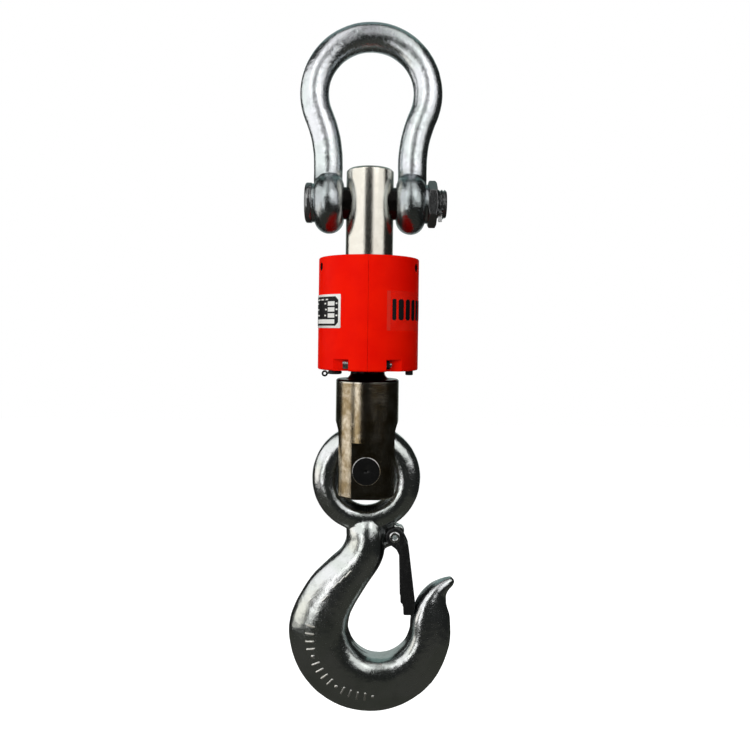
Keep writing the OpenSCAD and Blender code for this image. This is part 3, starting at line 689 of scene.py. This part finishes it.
def build_bow(mats):
    """The forged bow with an ear at each end, bored for the pin, and a turned boss on each ear."""
    bore_r, boss_r, ears_top = 16.3, 19.25, PIN_Z + 34
    half = bow_half()
    path = [(-x, 0, z) for x, z in reversed(half[1:])] + [(x, 0, z) for x, z in half]
    bow = tube("bow", path, ROD_R, 48)
    ears = []
    for side in (-1, 1):
        rim = EAR_HALF - 0.05
        outline = [(0, -EAR_HALF)] + arc(EAR_R - rim, 0, rim, -90, 90, 20) + [(0, EAR_HALF)]
        ears.append(lathe("ear", outline, "X", (side * EAR_X, 0, PIN_Z), 96))
    join(bow, ears)
    remesh(bow, 0.9, 5)

    def skin(p, n):
        flash = 0.16 * math.exp(-((p.y / 0.8) ** 2)) if p.z > ears_top else 0.0
        return forged(p, 11, 0.16, 3) + forged(p, 3.4, 0.05, 9) + flash

    push(bow, skin)
    combine(bow, [drill(bore_r, 80, "X", (0, 0, PIN_Z))])
    bosses = []
    for side in (-1, 1):
        outline = [(bore_r + 0.05, 50), (boss_r, 50), (boss_r, BOSS_X), (bore_r + 0.05, BOSS_X)]
        outline = soften([(r, side * x) for r, x in outline], 0.6, 3, loop=True)
        bosses.append(lathe("boss", outline, "X", (0, 0, PIN_Z), 96, loop=True))
    combine(bow, bosses, "UNION")
    shade(bow, 42)
    piece(bow, "shackle", "zinc_steel", mats["bow"], "shackle_bow")


def rings_about_pin(stations, steps, radius, start=0.0):
    """Rings about the shackle pin's axis at (x, scale) stations, of scale times radius(x, angle)."""
    rings = []
    for x, scale in stations:
        ring = []
        for j in range(steps):
            a = start + 2 * math.pi * j / steps
            r = radius(x, a) * scale
            ring.append((x, r * math.cos(a), PIN_Z + r * math.sin(a)))
        rings.append(ring)
    return rings


def build_bolt(mats):
    """The pin: a round head with a dimple, a plain shank and a cut thread."""
    head_x = -BOSS_X - 6.6
    head_r = 19.95
    pitch, depth = 3.2, 1.25
    thread_from = BOSS_X - 0.3
    body = [
        (head_x, 0.0), (head_x + 0.5, 4.0), (head_x + 0.5, 4.4), (head_x, 5.2), (head_x, 17.6),
        (head_x + 0.25, 18.4), (head_x + 0.7, 19.3), (head_x + 1.5, head_r), (-BOSS_X - 0.7, head_r),
        (-BOSS_X - 0.2, 19.7), (-BOSS_X, 19.2), (-BOSS_X, SHANK_R), (-25, SHANK_R), (25, SHANK_R),
        (thread_from - 0.6, SHANK_R), (thread_from, THREAD_R),
    ]

    def thread(x, a):
        turn = (x / pitch - a / (2 * math.pi)) % 1.0
        groove = min(1.0, max(0.0, 1.25 * (1 - abs(2 * turn - 1)) - 0.12))
        chamfer = max(0.0, x - (PIN_END - 1.7))
        return min(THREAD_R - depth * groove, THREAD_R - chamfer)

    steps = 120
    rings = rings_about_pin(body, steps, lambda x, a: 1.0)
    step = 0.3
    count = int((PIN_END - thread_from) / step)
    xs = [thread_from + step + (PIN_END - thread_from - step) * i / count for i in range(count + 1)]
    rings += rings_about_pin([(x, 1.0) for x in xs], steps, thread)
    end = [(PIN_END, 0.8), (PIN_END, 0.22), (PIN_END - 1.2, 0.04)]
    rings += rings_about_pin(end, steps, lambda x, a: THREAD_R)
    bolt = shade(loft("shackle_bolt", rings), 40)
    piece(bolt, "shackle", "black_steel", mats["bolt"], "shackle_pin")


def build_nut(mats):
    """A thin hexagon nut, chamfered on both faces, with a plain bore over the thread."""
    flats = 40.9 / 2
    bore_r, mouth_r, mouth = THREAD_R + 0.07, 15.7, 0.9
    end = BOSS_X + NUT_T
    steps = 144
    turn = math.radians(3)

    def radius(x, a):
        b = (a - turn) % (math.pi / 3)
        b = b - math.pi / 3 if b > math.pi / 6 else b
        depth = min(x - BOSS_X, end - x)
        return min(flats / math.cos(b), flats + 0.75 + 1.75 * depth)

    xs = [BOSS_X + v for v in (0, 0.35, 0.7, 1.05, 1.4, 1.8, 3.2, 5.4, 6.8, 7.2, 7.55, 7.9, 8.25, NUT_T)]
    rings = rings_about_pin([(x, 1.0) for x in xs], steps, radius, turn)
    hole = [(end, mouth_r), (end - mouth, bore_r), (BOSS_X + mouth, bore_r), (BOSS_X, mouth_r)]
    rings += rings_about_pin(hole, steps, lambda x, a: 1.0, turn)
    nut = loft("shackle_nut_plated", rings, loop=True)
    bevel(nut, 0.25, 2, 28)
    shade(nut, 28)
    piece(nut, "shackle", "black_steel", mats["bolt"], "shackle_nut")


def build_cotter(mats):
    """A split pin of half-round wire, folded into an eye, its two legs bent apart."""
    foot, eye, r, gap = THREAD_R + 3, 2.9, 2.0, 0.06
    near_bend, far_bend, turn, tail = 7, 9, 50, 4.6
    c, s = cos_sin(turn)
    line = [(near_bend * (1 - c) + tail * s, -foot - near_bend * s - tail * c)]
    line += arc(near_bend, -foot, near_bend, 180 + turn, 180, 5)
    line += [(gap, -8), (gap, 8), (gap, foot + 0.2)]
    line += [(0.78 * y, z) for y, z in arc(0, foot + 3.3, eye, -60, 240, 15)]
    line += [(-gap, foot + 0.2), (-gap, 8), (-gap, -8), (-gap, -foot)]
    line += arc(-far_bend, -foot, far_bend, 0, -24, 3)[1:]
    last = line[-1]
    line.append((last[0] - 2.2, last[1] - 4.2))
    rings = []
    n = len(line)
    for i, (y, z) in enumerate(line):
        ty = line[min(i + 1, n - 1)][0] - line[max(i - 1, 0)][0]
        tz = line[min(i + 1, n - 1)][1] - line[max(i - 1, 0)][1]
        size = math.hypot(ty, tz)
        out = (tz / size, -ty / size)
        ring = []
        for k in range(13):
            a = math.pi * k / 12
            across, away = r * math.cos(a), r * math.sin(a)
            ring.append((across, y + out[0] * away, z + out[1] * away))
        rings.append(ring)
    pin = loft("split_pin", rings)
    tilt = math.radians(-55)
    place = Matrix.Translation(Vector((centre("shackle_split_pin").x, 0, PIN_Z)) * MM)
    pin.data.transform(place @ Matrix.Rotation(tilt, 4, "X"))
    shade(pin, 50)
    piece(pin, "shackle", "zinc_steel", mats["cotter"], "shackle_split_pin")


# -------- load cell

FLAT_Y = 27.0  # the flats on the fork's cheeks, and the hook pin's faces
PIN_R = 14.0  # the hook pin


def build_spindle(mats):
    """The load cell's body: upper spindle, neck and slotted fork with a flat on each cheek."""
    r, waist, flange, neck, fork = 23.65, 21, 30, 17.0, 31.35
    top = TOP_Z - 5.2
    foot = BOT_Z - 9.5
    tip = FORK_BOT + 2.3
    half = [
        (0, tip), (fork - 1.5, tip), (fork, tip + 1.5), (fork, foot - 1.4), (fork - 1.4, foot),
        (neck + 4, foot), (neck, foot + 4), (neck, BOT_Z + 7), (waist, BOT_Z + 7), (waist, top - 12),
        (flange, top - 12), (flange, top), (r, top), (r, SPINDLE_Z - 2.2), (r - 2.2, SPINDLE_Z),
        (0, SPINDLE_Z),
    ]
    round_by = [0, 0.5, 0.8, 0.6, 0.6, 2.6, 2.6, 0, 0, 0, 0.4, 0.4, 0.4, 0.5, 0.5, 0]
    half = soften(half, round_by, 4)
    # Rings just clear of the cross bore keep its cut from tinting the wall above and below.
    for rise in (-20, -16.9, 16.9, 20):
        spot = next(i for i, p in enumerate(half) if abs(p[0] - r) < 0.01 and p[1] > PIN_Z + rise)
        half.insert(spot, (r, PIN_Z + rise))
    spindle = lathe("spindle", half, "Z", steps=144)
    slot, root = 15.0, FORK_BOT + 61.5
    flat_half, low, high = 14.2, FORK_BOT - 6, FORK_BOT + 57.3
    gap = [(-slot, low)] + arc(0, root, slot, 180, 0, 28) + [(slot, low)]
    flat = [(-flat_half, low), (flat_half, low), (flat_half, high), (-flat_half, high)]
    cutters = [
        drill(SHANK_R + 0.06, 40, "X", (0, 0, PIN_Z)),
        loft("slot", [[(x, y, z) for y, z in gap] for x in (-45, 45)]),
        drill(PIN_R + 0.05, 40, "Y", (0, 0, HOOK_PIN_Z)),
    ]
    cutters += [prism("flat", flat, (FLAT_Y * side, 40 * side)) for side in (-1, 1)]
    combine(spindle, cutters)
    bevel(spindle, 0.45, 2, 34)
    weigh(shade(spindle, 40))
    piece(spindle, "load_cell", "nickel_steel", mats["spindle"], "load_spindle")


def build_hook_pin(mats):
    """The pin through the fork, its face flush with the cheek's flat, and the bright edge about it."""
    y = -FLAT_Y
    outline = [
        (0, y + 2.6), (1.5, y + 2.2), (1.6, y + 0.15), (1.9, y), (13.0, y), (13.2, y + 0.06),
        (PIN_R, y + 0.85), (PIN_R, FLAT_Y - 0.8), (13.4, FLAT_Y - 0.1), (0, FLAT_Y),
    ]
    pin = shade(lathe("hook_axle", outline, "Y", (0, 0, HOOK_PIN_Z), 120), 32)
    piece(pin, "load_cell", "black_steel", mats["hook_pin"], "hook_pin")
    rim = [
        (13.1, y - 0.02), (13.3, y + 0.02), (13.98, y + 0.68), (14.03, y + 0.9), (13.7, y + 1.1),
        (13.0, y + 0.4),
    ]
    ring = shade(lathe("hook_axle_rim", rim, "Y", (0, 0, HOOK_PIN_Z), 120, loop=True), 40)
    piece(ring, "load_cell", "nickel_steel", mats["rivet"])


def wall_strip(name, stations, r0, r1):
    """A thin curved plate on the housing. stations are (degrees from the front, lowest z, highest z)."""
    rings = []
    for a, z0, z1 in stations:
        c, s = cos_sin(a)
        rings.append([(r * s, -r * c, z) for r, z in ((r0, z0), (r1, z0), (r1, z1), (r0, z1))])
    return loft(name, rings)


def wall_panel(name, a0, a1, z0, z1, r0, r1, cut=0.0):
    """A curved rectangle on the housing from a0 to a1 degrees, its corners cut by `cut` millimetres."""
    lean = math.degrees(cut / WALL_R)
    count = max(2, int(abs(a1 - a0) / 1.5))
    angles = sorted({a0, a0 + lean, a1 - lean, a1} | {a0 + (a1 - a0) * i / count for i in range(count + 1)})
    rows = []
    for a in angles:
        near = min(a - a0, a1 - a)
        trim = cut * max(0.0, 1 - near / lean) if lean else 0.0
        rows.append((a, z0 + trim, z1 - trim))
    return wall_strip(name, rows, r0, r1)


def build_nameplate(mats):
    """The plate, its dark panel, and plain blanks and ticks in place of print."""
    z0, z1 = (corner.z for corner in box("nameplate"))
    a0, a1 = -92.0, -31.0
    r, ink = WALL_R + 0.42, 0.05
    plate = wall_panel("nameplate_plate", a0, a1, z0, z1, WALL_R + 0.02, r, 0.5)
    shade(bevel(plate, 0.12, 2, 40), 40)
    piece(plate, "load_cell", "plate_white", mats["plate"], "nameplate")
    panel = wall_panel("nameplate_panel", a0 + 3.0, a1 - 3.0, z0 + 2.2, z1 - 2.2, r, r + ink, 3.4)
    piece(shade(panel, 40), "load_cell", "plate_white", mats["ink"])
    r += ink
    blanks = []
    for i in range(4):
        low = z0 + 4.2 + 5.7 * i
        left = a0 + 14 if i == 0 else a1 - 19.0
        blanks.append(wall_panel("blank", left, a1 - 8.2, low, low + 4.1, r, r + 0.04, 0.3))
        if i:
            for a, w in ((a1 - 6.4, 2.4), (a1 - 24.0 - 1.6 * (i % 2), 3.2), (a0 + 10.0, 14.0 - 2.1 * i)):
                blanks.append(wall_panel("tick", a, a + w, low + 1.4, low + 2.8, r, r + 0.04))
    for a, w in ((a0 + 12.5, 11.0), (a0 + 27, 7.0), (a0 + 38, 4.4)):
        blanks.append(wall_panel("tick", a, a + w, z1 - 5.6, z1 - 4.4, r, r + 0.04))
    piece(shade(gather("nameplate_blanks", blanks), 40), "load_cell", "plate_white", mats["ink_white"])


def build_label(mats):
    """The clear label, with a plain row of bold bars in place of its print."""
    z0, z1 = (corner.z for corner in box("capacity_label"))
    r, film_t, left, right = WALL_R + 0.03, 0.08, 20.6, 100
    sheet = wall_panel("label_sheet", left, right, z0, z1, r, r + film_t, 0.8)
    piece(shade(sheet, 40), "load_cell", "label_film", mats["film"], "capacity_label")
    r += film_t
    edge = wall_panel("label_edge", left + 0.2, left + 4.4, z0 + 0.3, z1 - 0.3, r, r + 0.02, 0.4)
    piece(shade(edge, 40), "load_cell", "label_film", mats["film_edge"])
    r += 0.02
    low, high = z0 + 10.2, z0 + 30.2
    bars = [wall_panel("bar", 27.2, 32.2, low, high, r, r + 0.04, 0.9)]
    for k in range(6):
        a = 35.2 + 10.4 * k
        bars.append(wall_panel("bar", a, a + 7.4, low, high, r, r + 0.04, 1.6))
    piece(shade(gather("label_bars", bars), 40), "load_cell", "black_plastic", mats["ink"])


def build_hole_shade(mats):
    """Dark liners in the side holes above the fixing screws: painted shade that keeps the holes black."""
    hole_r, hole_z, outer = 4.08, BOT_Z + 100.2, WALL_R - 0.55
    liners = []
    for angle in (-112, -68, 68, 112):
        outline = [(3.5, 43.5), (hole_r, 43.5), (hole_r, outer), (3.9, outer)]
        liner = lathe("liner", outline, "X", steps=48, loop=True)
        turn = Matrix.Rotation(math.radians(angle - 90), 4, "Z")
        liner.data.transform(Matrix.Translation((0, 0, hole_z * MM)) @ turn)
        liners.append(liner)
    piece(shade(gather("hole_shade_liners", liners), 40), "load_cell", "black_plastic", mats["ink"])


def build_cap(mats):
    """The rubber cap with its strap and finger loop, and the plug that closes the socket."""
    cap_r = 6.75
    x, y = box("charging_cap")[1].x - cap_r, centre("charging_cap").y
    top = BOT_Z - 1.1
    outline = [
        (0, top - 2.8), (5.6, top - 2.8), (cap_r, top - 1.9), (cap_r, top), (3.6, top), (3.6, top + 5.6),
        (3.1, top + 7.5), (1.5, top + 7.5), (1.5, top + 0.4), (0, top + 0.4),
    ]
    cap = lathe("cap", soften(outline, [0, 0.8, 0.8, 0.5, 0.3, 0.6, 0.4, 0.3, 0, 0], 4), "Z", (x, y, 0), 64)
    strap = [(-8.4, top - 2.7), (-4.2, top - 2.7), (-4.2, top - 1.1), (-8.4, top - 1.1)]
    strap = prism("strap", soften(strap, 0.3, 2, True), (y - 1.4, y + 1.4), x)
    loop = hoop("loop", (x - 9.8, y, top - 2.3), 2.15, 0.92, 48, 16)
    combine(cap, [strap, loop], "UNION")
    piece(shade(cap, 42), "charging_cap", "black_rubber", mats["rubber"], "charging_cap")


def build_button(mats):
    """The domed button, its retaining lip and the stem that works the switch."""
    c = centre("power_button")
    low = box("power_button")[0].z
    r, lip_r, stem_r = 3.8, 4.25, 1.6
    outline = [
        (0, low + 0.5), (2.0, low + 0.35), (3.0, low), (r, low + 0.6), (r, BOT_Z + 4.3), (lip_r, BOT_Z + 4.3),
        (lip_r, BOT_Z + 5.9), (stem_r, BOT_Z + 5.9), (stem_r, BOT_Z + 11.4), (0, BOT_Z + 11.4),
    ]
    outline = soften(outline, [0, 0.3, 0.5, 0.5, 0.2, 0.2, 0.2, 0.1, 0.3, 0], 3)
    button = shade(lathe("button", outline, "Z", (c.x, c.y, 0), 64), 40)
    piece(button, "power_button", "black_rubber", mats["rubber"], "power_button")


# -------- hook

EYE_Z = HOOK_PIN_Z - 11.0
EYE_MID = 39.65  # the eye's centre line
EYE_TUBE = 14.35
RIVET_R = 4.2
# The inner and outer arc of the hook's bowl: x, z and radius.
BOWL = (14.65, HOOK_PIN_Z - 157.65, 31.0)
BACK = (5.6, HOOK_PIN_Z - 162.4, 80.8)


def hook_stations():
    """Sections from the eye to the point. Each is the inner x and its drop below the pin, the outer x and its
    drop, and half the thickness."""
    rows = [
        (7, 45, -7, 45, 8), (13, 49.5, -13, 49.5, 13.4), (17, 56, -17, 56, 17.6), (19, 63, -19, 63, 20),
        (19.3, 71, -19.3, 72, 21.2), (19, 85, -24.4, 82, 21.4), (14.6, 97.5, -36.7, 93.5, 21.2),
        (6.1, 110, -52, 109, 21), (-4.7, 127.5, -64.6, 128.5, 21), (-13.4, 144, -72.4, 146, 21.2),
    ]
    for a in (*range(180, 331, 15), 350):
        c, s = cos_sin(a)
        thick = 17.8 if a == 350 else 21.6 - 0.02 * (a - 180)
        rows.append((
            BOWL[0] + BOWL[2] * c, HOOK_PIN_Z - BOWL[1] - BOWL[2] * s,
            BACK[0] + BACK[2] * c, HOOK_PIN_Z - BACK[1] - BACK[2] * s, thick,
        ))
    rows += [
        (46.4, 149, 85.3, 151, 16.6), (50.1, 138, 82.3, 139.5, 15.2), (53.2, 131, 81.2, 132, 13.8),
        (58.4, 123.6, 81.4, 126.5, 11.8), (66.5, 116, 84.2, 121.6, 9.4), (76.5, 111.2, 88, 117.8, 6.6),
        (85.4, 108.6, 89.8, 113, 3.6),
    ]
    return rows


def hook_ring(row, n):
    """An oval of n points, fuller and flatter on the side of the bowl."""
    xi, di, xo, do, b = row
    cx, cz = (xi + xo) / 2, HOOK_PIN_Z - (di + do) / 2
    hx, hz = (xi - xo) / 2, (do - di) / 2
    square = 1 - 0.3 * min(1.0, max(0.0, (b - 8) / 9)) * min(1.0, max(0.0, (di - 72) / 35))
    out = []
    for j in range(n):
        q = 2 * math.pi * j / n
        c, s = math.cos(q), math.sin(q)
        if c > 0:
            c, s = c ** square, math.copysign(abs(s) ** square, s)
        out.append((cx + hx * c, b * s * (1 + 0.1 * c), cz + hz * c))
    return out


def build_hook(mats):
    """The forging: eye ring, shank, bowl and point, and the lug that carries the latch."""
    hook = loft("hook_forging", [hook_ring(r, 56) for r in spline(hook_stations(), 8)])
    eye_at = (0, 0, EYE_Z)
    eye = hoop("eye", eye_at, EYE_MID, EYE_TUBE, 128, 48, lambda angle: 1 + 0.14 * min(0.0, math.sin(angle)))
    lug = [(-16, 14), (-13, -15), (2, -8.5), (9, 0.5), (10, 6), (6.4, 9.8), (1.5, 9.4)]
    lug = soften(lug, [0, 0, 2.5, 3, 2, 2, 2], 4, True)
    lug = prism("lug", lug, (-5, -4.9, 4.9, 5), RIVET.x, RIVET.z)
    join(hook, [eye, lug])
    remesh(hook, 1.0, 12)

    def skin(p, n):
        below = p.z < EYE_Z - EYE_MID
        flash = 0.3 * math.exp(-((p.y / 0.9) ** 2)) if below and abs(p.x - RIVET.x) > 16 else 0.0
        return forged(p, 13, 0.2, 5) + forged(p, 3.6, 0.06, 2) + flash

    push(hook, skin)
    combine(hook, [drill(RIVET_R + 0.05, 20, "Y", tuple(RIVET), 48)])
    shade(hook, 50)
    piece(hook, "hook", "zinc_steel", mats["hook"], "hook")
    build_marks(mats, hook)


def build_marks(mats, hook):
    """Plain raised bars and dots along the hook's front, each laid on the forging's own skin."""
    tree = BVHTree.FromObject(hook, bpy.context.evaluated_depsgraph_get())
    rise, sunk, thick = 1.3, 0.35, 0.9

    def ground(x, z):
        """The forging's front skin at x, z, and its normal."""
        hit, normal, _, _ = tree.ray_cast(Vector((x * MM, -0.1, z * MM)), Vector((0, 1, 0)))
        return (hit / MM, normal) if hit is not None else (None, None)

    def mark(x, z, lean, length, width):
        """A raised bar at x, z, with round ends, its length along `lean` degrees from +X."""
        along = Vector(cos_sin(lean))
        across = Vector((-along.y, along.x))
        nu, nv = max(4, int(length / 0.5)), 8
        top = []
        for i in range(nu + 1):
            for j in range(nv + 1):
                u, v = 2 * i / nu - 1, 2 * j / nv - 1
                du = u * length / 2
                round_off = max(0.0, abs(du) - (length - width) / 2) / (width / 2)
                dv = v * width / 2 * math.sqrt(max(0.02, 1 - round_off ** 2))
                p = Vector((x, z)) + along * du + across * dv
                hit, normal = ground(p.x, p.y)
                if hit is None:
                    return None
                edge = max(abs(v) ** 3, round_off ** 3)
                top.append(hit + normal * (rise * (1 - edge) - sunk))
        m = nv + 1
        under = [p + Vector((0, thick, 0)) for p in top]
        verts = [tuple(p) for p in top + under]
        off = len(top)
        faces = []
        for i in range(nu):
            for j in range(nv):
                a, b, c, d = i * m + j, (i + 1) * m + j, (i + 1) * m + j + 1, i * m + j + 1
                faces += [(a, b, c, d), (off + d, off + c, off + b, off + a)]
        rim = [(i * m, (i + 1) * m) for i in range(nu)] + [((i + 1) * m + nv, i * m + nv) for i in range(nu)]
        rim += [(j + 1, j) for j in range(nv)] + [(nu * m + j, nu * m + j + 1) for j in range(nv)]
        faces += [(a, off + a, off + b, b) for a, b in rim]
        return new_object("mark", verts, faces)

    bar, dot, reach, first, pitch = (9.5, 2.6), (4.2, 4.0), 58.5, 170.0, 7.4
    spots = []
    for x, drop in ((-16.0, 101.0), (-22.0, 106.5), (-28.0, 112.0), (-38.0, 125.0)):
        spots.append((x, HOOK_PIN_Z - drop, 50, *bar))
    for step, (x, z) in enumerate(arc(BACK[0], BACK[1], reach, first, first + 14 * pitch, 14)):
        spots.append((x, z, first + pitch * step, *(dot if step % 5 == 4 else bar)))
    made = [m for m in (mark(*s) for s in spots) if m]
    piece(shade(gather("hook_marks", made), 60), "hook", "zinc_steel", mats["marks"])


def build_latch(mats):
    """A bent sheet channel, open toward the shank, round the rivet at its top."""
    half, sheet = 11.8, 2.6
    edge = [
        (-4, -8), (1.8, -12.3), (5, -19), (6.3, -64.2), (9, -66.7), (9.4, -76.7), (18.4, -76.7), (20, -73.6),
        (20.9, -64), (13.9, -9.6), (11.5, -4.5), (9, 0), (8.4, 4.0), (5.6, 7.3), (1.4, 8.95), (-2.8, 8.6),
        (-6.4, 6.4), (-8.6, 2.8), (-8.95, -1.4), (-7.3, -5.2),
    ]
    edge = soften(edge, [0.8, 1.6, 3, 0.8, 0.8, 1.4, 1.4, 1.0, 2, 2, 1, 1] + [1.2] * 8, 3, True)
    latch = prism("latch_sheet", edge, (-half, half), RIVET.x, RIVET.z)
    bevel(latch, 0.9, 3, 60)
    inside = [
        (-14, 14), (-14, -82), (16.2, -82), (17.4, -73.6), (18.2, -64), (11.3, -9.6), (22, -9.6), (22, 14),
    ]
    core = prism("core", inside, (sheet - half, half - sheet), RIVET.x, RIVET.z)
    combine(latch, [core, drill(RIVET_R + 0.1, 20, "Y", tuple(RIVET), 48)])
    bevel(latch, 0.2, 2, 40)
    shade(latch, 32)
    piece(latch, "latch", "black_steel", mats["latch"], "latch")


def build_rivet(mats):
    """The hollow rivet, both ends rolled over."""
    y = 13.2
    half = [
        (RIVET_R, y - 1.1), (5.5, y - 1.1), (5.6, y - 0.8), (5.3, y - 0.35), (4.2, y), (2.9, y - 0.08),
        (2.3, y - 0.5),
    ]
    outline = [(r, -h) for r, h in reversed(half)] + half
    rivet = shade(lathe("rivet", outline, "Y", (RIVET.x, 0, RIVET.z), 64, loop=True), 45)
    piece(rivet, "hook", "zinc_steel", mats["rivet"], "latch_rivet")


def build_spring(mats):
    """Two coils about the rivet. One end of each lies on the latch's web, the other on the hook's shank."""
    mean, wire, inner_y, coil_pitch, turns, start = 5.9, 0.55, 5.9, 1.25, 2, -75
    coils, legs = [], []
    for side in (-1, 1):
        path = []
        for i in range(97):
            c, s = cos_sin(start - 360 * turns * i / 96)
            y = side * (inner_y + coil_pitch * turns * i / 96)
            path.append((RIVET.x + mean * c, y, RIVET.z + mean * s))
        web = [(RIVET.x + 7.5, side * 8.4, RIVET.z - 12), (RIVET.x + 13.0, side * 7.6, RIVET.z - 30)]
        coils.append(tube("coil", path + web, wire, 10))
        y = side * inner_y
        leg = [(x, y, z) for x, z in arc(RIVET.x, RIVET.z, mean, start, start - 50, 2)]
        leg += [(RIVET.x - 8.4, y, RIVET.z - 8.2), (RIVET.x - 10.6, y, RIVET.z - 13.4)]
        legs.append(tube("leg", leg, wire, 10))
    coils = gather("spring_coils", coils)
    piece(shade(coils, 0), "latch", "zinc_steel", mats["spring"], "latch_spring")
    piece(shade(gather("spring_legs", legs), 0), "hook", "zinc_steel", mats["spring"])


# -------- CAD nodes that stay

# Each material and the nodes that have it.
KEPT = {
    "red": "housing_left housing_right",
    "screw": "shell_join_screws bracket_screws board_screws charging_socket_nut",
    "ink": "shell_join_nuts",
    "bolt": "shell_fixing_screws hook_pin_screw",
    "foil": "strain_gauges",
    "rubber": "gauge_cover top_seal bottom_seal",
    "wire": "gauge_wires battery_wires",
    "aluminium": "board_bracket",
    "board": "main_board",
    "brass": "board_spacers",
    "can": "radio_module",
    "cell": "battery_cells",
    "black_plastic": "board_components radio_antenna battery_holders charging_socket switch_body",
}


def dress_nodes(mats):
    """Gives the CAD nodes that stay their materials."""
    for kind, names in KEPT.items():
        for name in names.split():
            mesh = NODES[name].data
            mesh.materials.clear()
            mesh.materials.append(mats[kind])


add_camera()
add_lights()
add_floor()
MATS = make_materials()
for build in (
    build_bow, build_bolt, build_nut, build_cotter, build_spindle, build_hook_pin, build_nameplate,
    build_label, build_hole_shade, build_cap, build_button, build_hook, build_latch, build_rivet, build_spring,
    dress_nodes,
):
    build(MATS)
